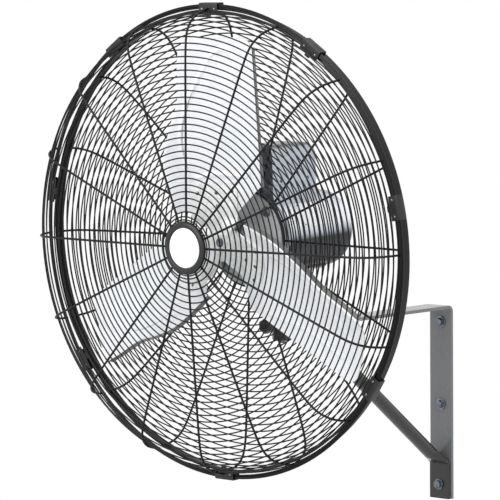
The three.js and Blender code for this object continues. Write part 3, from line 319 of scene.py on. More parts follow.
def refinished(node, finish):
    """A CAD node whose shape stays, in a better material."""
    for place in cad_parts[node].material_slots:
        place.material = finish_named(finish)


# ---- finishes -----------------------------------------------------------------------------
class Signal:
    """A shader socket that Python expressions can work with."""

    def __init__(self, shading, socket):
        self.shading, self.socket = shading, socket

    def __add__(self, other):
        return self.shading.maths("ADD", self, other)

    def __rsub__(self, other):
        return self.shading.maths("SUBTRACT", other, self)

    def __mul__(self, other):
        return self.shading.maths("MULTIPLY", self, other)

    __radd__, __rmul__ = __add__, __mul__


class Shading:
    """Adds nodes to a shader tree."""

    def __init__(self, tree):
        self.tree = tree
        tree.nodes.clear()

    def node(self, kind, inputs=None, output=0, **settings):
        """A node of a type, with its settings first and then its sockets' values or links."""
        made = self.tree.nodes.new("ShaderNode" + kind)
        for key, value in settings.items():
            setattr(made, key, value)
        for key, value in (inputs or {}).items():
            if isinstance(value, Signal):
                self.tree.links.new(value.socket, made.inputs[key])
            else:
                made.inputs[key].default_value = value
        return Signal(self, made.outputs[output]) if made.outputs else made

    def maths(self, operation, a, b=0.0):
        """A Math node on two values."""
        return self.node("Math", {0: a, 1: b}, operation=operation)

    def place(self, stretch=(1, 1, 1), turn=(0, 0, 0)):
        """Object coordinates, turned and stretched."""
        at = self.node("TexCoord", output="Object")
        return self.node("Mapping", {"Vector": at, "Rotation": turn, "Scale": stretch})

    def noise(self, at, scale, detail=3.0, rough=0.55):
        """Cloudy values around a half."""
        return self.node("TexNoise", {"Vector": at, "Scale": scale, "Detail": detail, "Roughness": rough})

    def between(self, value, low, high, to_low=0.0, to_high=1.0):
        """A value's range stretched to another and clamped."""
        return self.node("MapRange", {"Value": value, "From Min": low, "From Max": high,
                                      "To Min": to_low, "To Max": to_high})

    def blend(self, factor, a, b):
        """Two colours mixed."""
        return self.node("Mix", {0: factor, 6: a, 7: b}, 2, data_type="RGBA")

    def upward(self):
        """1 where the surface faces up, 0 where it is upright or faces down."""
        normal = self.node("TexCoord", output="Normal")
        height = self.node("SeparateXYZ", {0: normal}, "Z")
        return self.between(height, 0.3, 0.95)


def start_finish(name):
    """An empty material with the builder of its nodes, that builder, and its object coordinates."""
    material = bpy.data.materials.new(name)
    material.use_nodes = True
    shading = Shading(material.node_tree)
    return (material, shading), shading, shading.place()


def end_finish(made, colour, roughness, metallic, height=None, depth=0.02, strength=0.4, **constants):
    """The shader of a finish; height is the relief in units of depth millimetres."""
    material, sh = made
    inputs = {"Base Color": colour, "Roughness": roughness, "Metallic": metallic}
    if height is not None:
        inputs["Normal"] = sh.node("Bump", {"Strength": strength, "Distance": depth / 1000, "Height": height})
    inputs.update({key.replace("_", " "): value for key, value in constants.items()})
    shader = sh.node("BsdfPrincipled", inputs)
    sh.node("OutputMaterial", {"Surface": shader})
    return material


def rgba(colour, gain=1.0):
    """A linear colour made lighter or darker, with full alpha."""
    return tuple(min(1.0, c * gain) for c in colour) + (1.0,)


def wire_coat(name, base):
    """Dipped black coat on wire: broad dull patches, fine grain and a little pale on top, part dust and part
    painted top light.
    """
    made, sh, at = start_finish(name)
    cloud, grain = sh.noise(at, 18.0, 4.0), sh.noise(at, 900.0, 2.0)
    colour = sh.blend(sh.between(cloud, 0.35, 0.7), rgba(base, 0.75), rgba(base, 1.35))
    # pale on faces that point up: part dust, part painted top light
    colour = sh.blend(sh.upward() * sh.between(cloud, 0.4, 0.8) * 0.08, colour, rgba(tone("8d8f92")))
    roughness = sh.between(cloud + grain * 0.3, 0.4, 1.0, 0.34, 0.5)
    return end_finish(made, colour, roughness, 0.0, grain, 0.02, 0.3, Specular_IOR_Level=0.24)


def moulded(name, base):
    """Moulded plastic: leather-like grain of cells under a soft sheen, with faint flow marks."""
    made, sh, at = start_finish(name)
    cells = sh.node("TexVoronoi", {"Vector": at, "Scale": 1100.0}, "Distance")
    flow = sh.noise(sh.place((1, 1, 4)), 30.0, 4.0)
    colour = sh.blend(sh.between(flow, 0.35, 0.7), rgba(base, 0.82), rgba(base, 1.3))
    roughness = sh.between(flow + cells * 0.4, 0.4, 1.1, 0.36, 0.55)
    return end_finish(made, colour, roughness, 0.0, cells, 0.06, 0.35)


def satin_bar(name, base):
    """Glossy grey paint on flat bar: faint rolled streaks under it, cloudy sheen, small bright nicks."""
    made, sh, at = start_finish(name)
    streaks = sh.noise(sh.place((1, 0.05, 0.05)), 900.0, 3.0)
    cloud = sh.noise(at, 14.0, 5.0)
    nicks = sh.between(sh.noise(at, 260.0, 2.0), 0.76, 0.8)
    colour = sh.blend(sh.between(cloud + streaks * 0.4, 0.4, 1.0), rgba(base, 0.92), rgba(base, 1.08))
    colour = sh.blend(nicks * 0.4, colour, rgba(tone("c9ccd0")))
    roughness = sh.between(cloud + streaks * 0.5, 0.5, 1.1, 0.24, 0.34)
    return end_finish(made, colour, roughness, 0.0, streaks, 0.01, 0.25, Coat_Weight=0.35,
                      Coat_Roughness=0.12)


def dark_gloss(name, base):
    """Dark glossy paint: slight orange peel and thin pale wear."""
    made, sh, at = start_finish(name)
    peel, cloud = sh.noise(at, 420.0, 2.0), sh.noise(at, 16.0, 5.0)
    scuffs = sh.between(sh.noise(sh.place((1, 0.12, 0.3)), 160.0, 3.0), 0.72, 0.78)
    colour = sh.blend(sh.between(cloud, 0.35, 0.7), rgba(base, 0.88), rgba(base, 1.12))
    colour = sh.blend(scuffs * 0.25, colour, rgba(tone("8a8781")))
    roughness = sh.between(cloud, 0.3, 0.7, 0.24, 0.34)
    return end_finish(made, colour, roughness, 0.0, peel, 0.02, 0.25, Coat_Weight=0.35, Coat_Roughness=0.1)


def silver_enamel(name, base):
    """Silver enamel: metal flake, long soft clouds and orange peel."""
    made, sh, at = start_finish(name)
    colour, roughness, peel = enamel_pattern(sh, at, base)
    return end_finish(made, colour, roughness, 0.75, peel, 0.03, 0.25)


def barrel_enamel(name, base):
    """Silver enamel with painted light: a painted dark reflection on its lower half, below a painted
    highlight band.
    """
    made, sh, at = start_finish(name)
    colour, roughness, peel = enamel_pattern(sh, at, base)
    height = sh.node("SeparateXYZ", {0: sh.node("TexCoord", output="Normal")}, "Z")
    # painted dark reflection: faces that point down turn near black
    low = 1 - sh.between(height, -0.1, 0.04)
    # painted highlight: a bright band on faces that point up
    bright = sh.between(height, 0.02, 0.25) * (1 - sh.between(height, 0.62, 0.95))
    colour = sh.blend(bright * 0.9, colour, rgba(tone("fafbfd")))
    colour = sh.blend(low * 0.95, colour, rgba(tone("1a1b1f")))
    return end_finish(made, colour, roughness, 0.5, peel, 0.03, 0.25)


def box_enamel(name, base):
    """Silver enamel on the box, with a painted dark reflection on its top and front faces."""
    made, sh, at = start_finish(name)
    colour, roughness, peel = enamel_pattern(sh, at, base)
    normal = sh.node("TexCoord", output="Normal")
    # painted dark reflection on faces that point up or to the front
    top = sh.between(sh.node("SeparateXYZ", {0: normal}, "Z"), 0.45, 0.85)
    front = 1 - sh.between(sh.node("SeparateXYZ", {0: normal}, "Y"), -0.9, -0.5)
    colour = sh.blend(sh.maths("MAXIMUM", top, front) * 0.85, colour, rgba(tone("3c3e42")))
    return end_finish(made, colour, roughness, 0.75, peel, 0.03, 0.25)


def enamel_pattern(sh, at, base):
    """Colour, roughness and relief that the silver enamels share."""
    flake = sh.node("TexVoronoi", {"Vector": at, "Scale": 2600.0}, "Distance")
    cloud, peel = sh.noise(at, 11.0, 5.0), sh.noise(at, 300.0, 2.0)
    colour = sh.blend(sh.between(cloud + flake * 0.25, 0.4, 0.9), rgba(base, 0.9), rgba(base, 1.1))
    return colour, sh.between(cloud + flake * 0.3, 0.4, 1.0, 0.22, 0.34), peel


def zinc_plate(name, base):
    """Bright zinc: cool and warm passivation clouds over a fine turned grain."""
    made, sh, at = start_finish(name)
    cloud, grain = sh.noise(at, 120.0, 4.0), sh.noise(at, 1600.0, 2.0)
    colour = sh.blend(sh.between(cloud, 0.35, 0.65), rgba(base, 0.75), rgba(base, 1.35))
    roughness = sh.between(cloud + grain * 0.4, 0.5, 1.0, 0.14, 0.3)
    return end_finish(made, colour, roughness, 0.95, grain, 0.02, 0.3)


def brushed_sheet(name, base):
    """Bright aluminium sheet: fine rolled streaks, cloudy oxide and hair scratches. The return flanges,
    whose normal lies along the blade's chord, get painted shade: a darker grey."""
    made, sh, at = start_finish(name)
    turn = math.radians(120) * (int(name[-1]) - 1)
    chord = Vector((math.cos(turn), math.sin(HEAD_TILT) * math.sin(turn), -math.sin(turn)))
    along = sh.node("VectorMath", {0: sh.node("TexCoord", output="Normal"), 1: chord}, "Value",
                    operation="DOT_PRODUCT")
    # painted shade: the flanges, seen edge on, are darkened toward a brown grey
    flange = sh.between(sh.maths("ABSOLUTE", along), 0.66, 0.82)
    streaks = sh.noise(sh.place((1, 0.2, 0.03)), 1200.0, 3.0)
    cloud = sh.noise(at, 9.0, 5.0)
    hairs = sh.between(sh.noise(sh.place((0.04, 0.3, 1), (0, 0.5, 0)), 700.0, 2.0), 0.7, 0.76)
    colour = sh.blend(sh.between(cloud + streaks * 0.5, 0.45, 1.0), rgba(base, 0.95), rgba(base, 1.06))
    colour = sh.blend(hairs * 0.2, colour, rgba(tone("c4cad2")))
    # painted shade on the flanges
    colour = sh.blend(flange * 0.9, colour, rgba(tone("4a4744")))
    roughness = sh.between(cloud + streaks * 0.6, 0.5, 1.1, 0.26, 0.4)
    return end_finish(made, colour, roughness, 0.15, streaks, 0.01, 0.25)


def galvanised(name, base):
    """Galvanised plate: spangle of flat crystals, each a little lighter or darker."""
    made, sh, at = start_finish(name)
    crystal = sh.node("TexVoronoi", {"Vector": at, "Scale": 160.0}, "Color")
    shade = sh.node("SeparateColor", {0: crystal}, 0)
    grain = sh.noise(at, 900.0, 2.0)
    colour = sh.blend(sh.between(shade + grain * 0.4, 0.1, 1.3), rgba(base, 0.9), rgba(base, 1.1))
    roughness = sh.between(shade, 0.0, 1.0, 0.36, 0.5)
    return end_finish(made, colour, roughness, 0.2, grain, 0.02, 0.25)


def galvanised_painted_bright(name, base):
    """The spider's galvanised plate with painted light: its colour nearly doubled so that it looks brightly
    lit.
    """
    return galvanised(name, rgba(base, 1.95)[:3])


def satin_white(name, base):
    """Satin white plastic or enamel: faint warm and cool clouds over a fine skin."""
    made, sh, at = start_finish(name)
    cloud, skin = sh.noise(at, 25.0, 4.0), sh.noise(at, 800.0, 2.0)
    colour = sh.blend(sh.between(cloud, 0.35, 0.65), rgba(base, 0.95), rgba(base, 1.02))
    roughness = sh.between(cloud + skin * 0.4, 0.5, 1.0, 0.3, 0.44)
    return end_finish(made, colour, roughness, 0.0, skin, 0.02, 0.3)


def wound_copper(name, base):
    """Varnished copper windings: close turns of wire about the shaft, with darker varnish between."""
    made, sh, at = start_finish(name)
    turns = sh.node("TexWave", {"Vector": at, "Scale": 150.0, "Distortion": 1.2, "Detail": 2.0}, "Fac",
                    bands_direction="Y")
    cloud = sh.noise(at, 60.0, 3.0)
    colour = sh.blend(sh.between(turns + cloud, 0.4, 1.4), rgba(base, 0.4), rgba(base, 1.2))
    return end_finish(made, colour, sh.between(cloud, 0.3, 0.7, 0.25, 0.4), 0.9, turns, 0.3, 0.6)


def laminations(name, base):
    """Stacked steel laminations: thin dark lines between the sheets."""
    made, sh, at = start_finish(name)
    sheets = sh.node("TexWave", {"Vector": at, "Scale": 320.0, "Distortion": 0.0}, "Fac", bands_direction="Y")
    cloud = sh.noise(at, 50.0, 3.0)
    colour = sh.blend(sh.between(sheets * 0.6 + cloud, 0.4, 1.2), rgba(base, 0.55), rgba(base, 1.15))
    return end_finish(made, colour, sh.between(cloud, 0.3, 0.7, 0.4, 0.6), 0.8, sheets, 0.1, 0.5)


FINISHES = {
    "black_wire": wire_coat,
    "black_plastic": moulded,
    "grey_bar": satin_bar,
    "dark_tube": dark_gloss,
    "motor_paint": silver_enamel,
    "motor_paint:barrel": barrel_enamel,
    "motor_paint:box": box_enamel,
    "bell_paint:rear": barrel_enamel,
    "bell_paint": silver_enamel,
    "plated_steel": zinc_plate,
    "blade_aluminium:1": brushed_sheet,
    "blade_aluminium:2": brushed_sheet,
    "blade_aluminium:3": brushed_sheet,
    "plate_grey": galvanised,
    # the spider's plate, brightened as painted light
    "plate_grey:spider": galvanised_painted_bright,
    "white_plastic": satin_white,
    "white_sheet": satin_white,
    "copper": wound_copper,
    "lamination": laminations,
}


def finish_named(name):
    """The material of a slot, made the first time it is asked for."""
    looks = "look_" + name.replace(":", "_")
    if looks not in bpy.data.materials:
        FINISHES[name](looks, tuple(getattr(bpy.context.scene.fan_colours, name.split(":")[0])))
    return bpy.data.materials[looks]


# ---- sizes and colours that a user may change ----------------------------------------------
def colour_property(name, code, description):
    """A colour that a user may change, its default given in hex."""
    return FloatVectorProperty(name=name, description=description, subtype="COLOR", size=3, min=0.0, max=1.0,
                               default=tone(code))


def length_property(name, default, description):
    """A length in millimetres that a user may change."""
    return FloatProperty(name=name, description=description + ", in millimetres", default=default, min=0.1)


class FanColours(bpy.types.PropertyGroup):
    """Base colours of the finishes."""
    black_wire: colour_property("Guard wire", "08080a", "Coat of the guards' wire")
    black_plastic: colour_property("Black plastic", "111113", "Badge ring, clips and knobs")
    grey_bar: colour_property("Wall arm", "6e6f71", "Gloss paint of the flat bar")
    dark_tube: colour_property("Brace", "12110f", "Gloss paint of the brace, swivel and saddle")
    motor_paint: colour_property("Motor", "b9bfc8", "Enamel of the motor and its box")
    bell_paint: colour_property("Motor bells", "989ea8", "Enamel of the motor's end bells")
    plated_steel: colour_property("Fasteners", "6f747b", "Zinc plate of the bolts and screws")
    blade_aluminium: colour_property("Blades", "f3f4f6", "Sheet of the three blades")
    plate_grey: colour_property("Plates", "b4b5b4", "Galvanised plates and spider")
    white_plastic: colour_property("Badge", "f6f6f6", "Bare disc in the badge")
    white_sheet: colour_property("Label", "fdfdfd", "Bare plate on the motor")
    copper: colour_property("Windings", "b06a35", "Varnished copper")
    lamination: colour_property("Core", "6b6e72", "Steel laminations")


class FanSizes(bpy.types.PropertyGroup):
    """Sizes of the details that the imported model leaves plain."""
    ring_wire: length_property("Ring wire", 1.25, "Radius of the guards' ring wires")
    spoke_wire: length_property("Spoke wire", 2.0, "Radius of the guards' spokes")
    ring_pitch: length_property("Ring pitch", 11.6, "Distance between neighbouring rings")
    bead_height: length_property("Bead height", 1.8, "Height of the bead pressed into each blade")
    bead_width: length_property("Bead width", 9.0, "Width of that bead")
    rivet_radius: length_property("Rivet", 3.6, "Radius of the blade rivets' heads")
    clip_screw: length_property("Clip screw", 2.6, "Radius of the rim clips' screws")
    ring_segments: IntProperty(name="Ring segments", description="Straight steps in each wire ring",
                               default=144, min=24, max=400)


# ---- guards -------------------------------------------------------------------------------
def guard_wires(line, outside, sizes, first_ring):
    """A guard's rings laid on the outer side of its spokes, outside being -1 for the front one."""
    curve = evenly(eased(line, 60, 9, closed=False), 4.0)
    rings = evenly(curve, sizes.ring_pitch, first_ring)
    normal = side_normals(rings) * outside * (sizes.ring_wire + sizes.spoke_wire) * 0.9
    rings = rings + normal
    return (spokes(curve, sizes.spoke_wire, SPOKE_ANGLES),
            wire_rings(rings[:-1, 0], rings[:-1, 1], sizes.ring_wire, sizes.ring_segments))


class FAN_OT_front_guard(bpy.types.Operator):
    """Front guard: spokes, rings, hub disc and three rim wires"""
    bl_idname = "fan.front_guard"
    bl_label = "Front guard"

    def execute(self, context):
        sizes = context.scene.fan_sizes
        hub = turned(eased([[0, -71.4], [42, -71.4], [42, -68.6], [0, -68.6]], [0, 1, 1, 0], closed=False),
                     64, ring=False)
        collar = wire_rings([48.5, 54.0], [-72.2, -72.0], sizes.ring_wire, 96)
        rim = wire_rings([409.0, 411.9, 414.3], [8.4, 8.0, 8.6], 1.6, sizes.ring_segments + 48)
        wires = guard_wires(FRONT_LINE, 1, sizes, 22.0)
        piece("front_guard_wires", joined(hub, collar, rim, *wires), "head", "black_wire", ("front_guard",))
        return {"FINISHED"}


class FAN_OT_rear_guard(bpy.types.Operator):
    """Rear guard: spokes, rings, clamped ring and the ring at its mouth"""
    bl_idname = "fan.rear_guard"
    bl_label = "Rear guard"

    def execute(self, context):
        sizes = context.scene.fan_sizes
        mouth = wire_rings([402.0], [13.5], 2.2, sizes.ring_segments + 48)
        clamped = wire_rings([77.0, 85.5], [88.0, 87.6], 2.2, 96)
        wires = guard_wires(REAR_LINE, -1, sizes, 18.0)
        piece("rear_guard_wires", joined(mouth, clamped, *wires), "head", "black_wire", ("rear_guard",))
        return {"FINISHED"}


class FAN_OT_rim(bpy.types.Operator):
    """Flat hoop behind the rim wires, its edges rounded"""
    bl_idname = "fan.rim"
    bl_label = "Rim hoop"

    def execute(self, context):
        inner, outer = RIM_INNER - 2.5, RIM_INNER - GAP
        section = eased([[inner, 17], [outer, 17], [outer, 36], [inner, 36]], 1.0, 5)
        piece("rim_hoop", turned(section, 192), "head", "black_wire", ("rim_band",))
        return {"FINISHED"}


class FAN_OT_rim_clips(bpy.types.Operator):
    """Eight bent clips over the rim, each with two round-head screws and a tongue"""
    bl_idname = "fan.rim_clips"
    bl_label = "Rim clips"

    def execute(self, context):
        outline = eased([[400, 4.1], [417.9, 4.1], [417.9, 22], [407, 22], [407, 20.4], [416.3, 20.4],
                         [416.3, 5.7], [400, 5.7]], [0.5, 2.2, 2.2, 0.5, 0.5, 0.9, 0.9, 0.5], 5)
        screw = context.scene.fan_sizes.clip_screw
        for number, degrees in enumerate(CLIP_ANGLES, 1):
            angle = math.radians(degrees)
            across = np.array([[-21.0, 0, 0], [-20.4, 0, 0], [20.4, 0, 0], [21.0, 0, 0]])
            shrink = np.array([0.985, 1, 1, 0.985])[:, None, None]
            middle = outline.mean(0)
            section = (outline - middle) * shrink + middle
            up = np.broadcast_to([0.0, 0, 1], (4, 3))
            back = np.broadcast_to([0.0, 1, 0], (4, 3))
            plate = swept(across, up, back, section)
            tongue = swept(np.array([[-5.5, 4.9, 395], [-4.5, 4.9, 394], [4.5, 4.9, 394], [5.5, 4.9, 395]]),
                           up, back, np.array([[0, -0.75], [7, -0.75], [7, 0.75], [0, 0.75]]))
            points, faces = joined(plate, tongue)
            name = f"rim_clip_{number}_plate"
            piece(name, (spun(points, angle), faces), "head", "black_plastic", (f"rim_clip_{number}",))
            centres = spun(np.array([[-14.0, 4.1, 407], [14.0, 4.1, 407]]), angle)
            piece(f"rim_clip_{number}_screws", domes(centres, [0, -1, 0], screw, 1.8), "head", "plated_steel")
        return {"FINISHED"}


class FAN_OT_badge(bpy.types.Operator):
    """Round badge on the front guard: a domed black ring around a bare white disc"""
    bl_idname = "fan.badge"
    bl_label = "Badge"

    def execute(self, context):
        ring = eased([[46.5, HUB_FACE], [35.3, HUB_FACE], [35.3, -77.5], [37, -79.5], [41.5, -79.5],
                      [45.5, -77.2]],
                     [0.4, 0.4, 1, 1.6, 2.4, 2.4], 7)
        disc = eased([[0, -81], [17.5, -80.6], [29.7, -79.2], [35, -77], [35, HUB_FACE], [0, HUB_FACE]],
                     [0, 8, 8, 1.5, 0.4, 0], 7, closed=False)
        piece("badge_bezel", turned(ring), "head", "black_plastic", ("badge_ring",))
        piece("badge_face", turned(disc, ring=False), "head", "white_plastic", ("badge_disc",))
        return {"FINISHED"}


# ---- rotor --------------------------------------------------------------------------------
# trailing edge of a blade, as radius and width
TRAIL = np.array([[53, -71], [95, -83], [140, -89.5], [190, -80.5], [250, -64], [310, -62.5], [357, -58.5]])
# centre line of the bead pressed into a blade, as width and radius
BEAD = np.array([[-48, 116], [-53, 129], [-58, 151], [-61, 177], [-59, 203], [-53, 229], [-45, 254],
                 [-33, 278], [-19, 303], [-6, 326], [8, 335.6], [22, 332.5], [32, 322], [36.5, 307],
                 [36, 284],
                 [36, 262], [39, 228], [45, 200], [53, 172], [60, 147], [61, 128], [50, 115],
                 [22, 116.4], [-1, 118.8], [-22, 115.9], [-36, 112.1], [-48, 116.0]])


def blade_point(s, radius, off, pitch):
    """A point of the pitched, cambered blade: s along the chord and off behind the surface.
    The camber is h (1 - ((s - middle) / half)^2), no lower than -0.3 h."""
    rise = CAMBER * np.maximum(-0.3, 1 - ((s - CAMBER_MIDDLE) / CAMBER_HALF) ** 2) + off
    return np.stack([s * np.cos(pitch) - rise * np.sin(pitch),
                     BLADE_CENTRE + s * np.sin(pitch) + rise * np.cos(pitch), radius + 0 * s], -1)


def distance_to(line, x, y):
    """Distance from each point to a polyline, the least over its segments."""
    a, d = line[:-1], np.diff(line, axis=0)
    px, py = x[..., None] - a[:, 0], y[..., None] - a[:, 1]
    t = np.clip((px * d[:, 0] + py * d[:, 1]) / (d ** 2).sum(1), 0, 1)
    return np.hypot(px - t * d[:, 0], py - t * d[:, 1]).min(-1)


def blade_sheet(sizes):
    """A blade: chord from the trailing curve to the straight leading edge, a flange bent back along
    both, corners of the tip rounded by a circle, and a round bead along its centre line."""
    bend, flange, count = 3.0, 12.0, 72
    a = np.linspace(0, TAU / 4, 6)
    legs = np.linspace(flange, bend, 4)[:-1]
    u = np.linspace(0, 1, count)[1:-1]
    w = np.concatenate([np.zeros(9), u, np.ones(9)])
    off = np.concatenate([legs, bend * (1 - np.sin(a)), 0 * u, bend * (1 - np.sin(a[::-1])), legs[::-1]])
    inset = np.concatenate([0 * legs, bend * (1 - np.cos(a)), bend * (1 - 2 * u),
                            -bend * (1 - np.cos(a[::-1])), 0 * legs])
    edge = np.clip((np.abs(2 * w - 1) - 0.7) / 0.3, 0, 1)
    tip = BLADE_TIP - 18 * (1 - np.sqrt(1 - edge ** 2))
    root = BLADE_ROOT + (ROOT_LEAD - BLADE_ROOT) * np.maximum(0, (w - 0.7) / 0.3)
    v = np.linspace(0, 1, 110)[:, None]
    radius = root + (tip - root) * v
    trail = smooth_between(radius, TRAIL[:, 0], TRAIL[:, 1])
    lead = 77.5 - 0.04 * (radius - ROOT_LEAD)
    s = (trail + (lead - trail) * w) / math.cos(BLADE_PITCH) + inset
    near = distance_to(BEAD, s * math.cos(BLADE_PITCH), radius)
    bead = np.cos(np.clip(near / sizes.bead_width, 0, 0.5) * math.pi) ** 2
    face = smoothstep(np.minimum(w, 1 - w), 0, 0.03)
    middle = blade_point(s, radius, off - sizes.bead_height * bead * face, BLADE_PITCH)
    return thick_sheet(middle, 1.6)


def spider_arm():
    """A stamped arm: flat at the hub, twisting up to the blades' pitch between radii 16 and 42."""
    u = np.linspace(0, 1, 33)
    edge = np.clip((np.abs(2 * u - 1) - 0.2) / 0.8, 0, 1)
    tip = 107 - 16 * (1 - np.sqrt(1 - edge ** 2))
    radius = 12 + (tip - 12) * np.linspace(0, 1, 40)[:, None]
    twist = smoothstep(radius, 16, 42)
    s = -6.5 * twist + 85 * (0.55 + 0.45 * twist) * (u - 0.5)
    return thick_sheet(blade_point(s, radius, -2.6, BLADE_PITCH * twist), 3.0)


class FAN_OT_blades(bpy.types.Operator):
    """Three pressed blades with return flanges and a bead"""
    bl_idname = "fan.blades"
    bl_label = "Blades"

    def execute(self, context):
        points, faces = blade_sheet(context.scene.fan_sizes)
        for number in range(3):
            patch = (spun(points, TAU * number / 3), faces)
            name = f"blade_{number + 1}"
            piece(name + "_sheet", patch, "rotor", f"blade_aluminium:{number + 1}", (name,), sharp=60)
        return {"FINISHED"}


class FAN_OT_hub(bpy.types.Operator):
    """Spider that carries the blades, its hub, rivets and the shaft"""
    bl_idname = "fan.hub"
    bl_label = "Hub and spider"

    def execute(self, context):
        points, faces = spider_arm()
        arms = [(spun(points, TAU * k / 3), faces) for k in range(3)]
        bore = SHAFT_RADIUS + GAP
        barrel = turned(eased([[bore, HUB_FRONT], [HUB_RADIUS, HUB_FRONT], [HUB_RADIUS, HUB_REAR],
                               [bore, HUB_REAR]], [0.6, 1.6, 1.6, 0.6]), 64)
        plate = turned(eased([[bore, 20.1], [SPIDER_RADIUS, 20.1], [SPIDER_RADIUS, 25.1], [bore, 25.1]],
                             [0.2, 1.5, 1.5, 0.2]), 96)
        piece("stamped_spider", joined(barrel, plate, *arms), "rotor", "plate_grey:spider", ("hub_spider",))
        spots = np.array([[-35, 86], [-1, 64], [-3, 87], [24, 90.0]])
        chord = spots[:, 0] / math.cos(BLADE_PITCH)
        heads = blade_point(chord, spots[:, 1], -4.0, BLADE_PITCH)
        tails = blade_point(chord, spots[:, 1], 0.8, BLADE_PITCH)
        angles = TAU * np.arange(3) / 3
        centres = np.concatenate([spun(heads, a) for a in angles] + [spun(tails, a) for a in angles])
        forward = [spun(heads - tails, a) for a in angles]
        axes = np.concatenate(forward + [-step for step in forward])
        rivet = domes(centres, axes, context.scene.fan_sizes.rivet_radius, 1.8)
        piece("blade_rivets", rivet, "rotor", "plated_steel")
        shaft = eased([[0, 12], [SHAFT_RADIUS - 1, 12], [SHAFT_RADIUS, 13.2], [SHAFT_RADIUS, 300], [0, 300]],
                      [0, 0.4, 0.4, 0.4, 0], closed=False)
        piece("bright_shaft", turned(shaft, 48, ring=False), "rotor", "plated_steel", ("rotor_shaft",))
        softened("hub_set_screw", "set_screw", "rotor", "plated_steel", 0.4)
        refinished("rotor_core", "lamination")
        return {"FINISHED"}


# ---- motor --------------------------------------------------------------------------------
class FAN_OT_motor(bpy.types.Operator):
    """Motor shell with rolled beads, its end bells, label plate and inner parts"""
    bl_idname = "fan.motor"
    bl_label = "Motor"

    def execute(self, context):
        outer, inner, groove = MOTOR_RADIUS, MOTOR_RADIUS - SHELL_WALL, 68.1
        shell = eased([[inner, SHELL_FRONT], [outer, SHELL_FRONT], [outer, 129], [groove, 131], [outer, 133],
                       [outer, 261], [groove, 263], [outer, 265], [outer, SHELL_REAR], [inner, SHELL_REAR]],
                      1.2, 5)
        front = eased([[9.5, 94], [80, 94], [80, 101], [69, 101], [69, 123.7], [65, 123.7], [65, 101],
                       [24.3, 101], [24.3, 110], [20.3, 110], [20.3, 98], [9.5, 98]],
                      [0.4, 1.6, 1.6, 1.5, 0.8, 0.4, 0.4, 0.4, 0.4, 0.4, 0.4, 0.4], 6)
        rear = eased([[69, 270.3], [69, 290], [64, 299], [52, 303.5], [38, 306], [11.5, 306], [11.5, 302],
                      [20.3, 302], [20.3, 289], [24.3, 289], [24.3, 300], [51, 298.5], [60, 293], [65, 286],
                      [65, 270.3]], [0.8, 9, 8, 8, 6, 1, 0.4, 0.4, 0.4, 0.4, 0.4, 3, 4, 3, 0.4], 7)
        piece("motor_barrel", turned(shell), "head", "motor_paint:barrel", ("motor_shell",))
        piece("front_end_bell", turned(front), "head", "bell_paint", ("front_bell",))
        piece("rear_end_bell", turned(rear), "head", "bell_paint:rear", ("rear_bell",))
        around = np.radians([45, 135, 225, 315])
        bolts = about_shaft(57.0, 300.6, around)
        piece("bell_screws", domes(bolts, [0, 1, 0], 3.4, 2.6), "head", "plated_steel")
        self.label()
        for node, finish in (("stator_core", "lamination"), ("front_winding", "copper"),
                             ("rear_winding", "copper"), ("front_bearing", "plated_steel"),
                             ("rear_bearing", "plated_steel"), ("run_capacitor", "black_plastic")):
            refinished(node, finish)
        return {"FINISHED"}

    def label(self):
        """A bare plate rolled onto the shell, its corners rounded, with a rivet in each."""
        u = np.linspace(-1, 1, 41)
        edge = np.clip((np.abs(u) - 0.9) / 0.1, 0, 1)
        half = 39 - 3 * (1 - np.sqrt(1 - edge ** 2))
        depth = 203 + half * np.linspace(-1, 1, 25)[:, None]
        angle = np.radians(58 + 19 * u) + 0 * depth
        piece("motor_label", thick_sheet(about_shaft(69.7, depth, angle), 0.7), "head", "white_sheet",
              ("label_plate",))
        corners = np.radians([42, 74, 42, 74])
        centres = about_shaft(70.0, np.array([168.0, 168, 238, 238]), corners)
        rivets = domes(centres, about_shaft(1.0, 0.0, corners), 1.6, 0.9)
        piece("label_rivets", rivets, "head", "plated_steel")


class FAN_OT_motor_box(bpy.types.Operator):
    """Box on the motor: base, cover, gland, switch, knob and screws"""
    bl_idname = "fan.motor_box"
    bl_label = "Motor box"

    def execute(self, context):
        softened("switch_box_base", "box_base", "head", "motor_paint", 0.8)
        softened("switch_box_cover", "box_cover", "head", "motor_paint:box", 1.0)
        softened("cable_gland", "cord_gland", "head", "black_plastic", 0.5)
        softened("rotary_switch", "speed_switch", "head", "black_plastic", 0.4)
        softened("switch_pointer_knob", "speed_knob", "speed_dial", "black_plastic", 0.6)
        for number in (1, 2):
            softened(f"cover_screw_{number}_head", f"cover_screw_{number}", "head", "plated_steel", 0.2)
        return {"FINISHED"}


class FAN_OT_clamp(bpy.types.Operator):
    """Two galvanised plates that clamp the rear guard, with four round-head bolts"""
    bl_idname = "fan.clamp"
    bl_label = "Guard clamp"

    def execute(self, context):
        for name, node, front in (("guard_disc", "guard_plate", 83.0), ("clamp_disc", "clamp_plate", 91.2)):
            outline = eased([[30, front], [83, front], [83, front + 2.5], [30, front + 2.5]], 0.8, 5)
            piece(name, turned(outline), "head", "plate_grey", (node,))
        head = eased([[0, -6], [5.2, -5.3], [8.6, -2.9], [9.5, 0], [3.8, 0], [3.8, 17.6], [0, 17.6]],
                     [0, 3, 2.5, 0.5, 0.3, 0.5, 0], 6, closed=False)
        for number, (x, z) in enumerate(((49.5, 49.5), (49.5, -49.5), (-49.5, -49.5), (-49.5, 49.5)), 1):
            points, faces = turned(head, 40, ring=False)
            node = f"guard_bolt_{number}"
            piece(node + "_round", (points + [x, 82.7, z], faces), "head", "plated_steel", (node,))
        return {"FINISHED"}


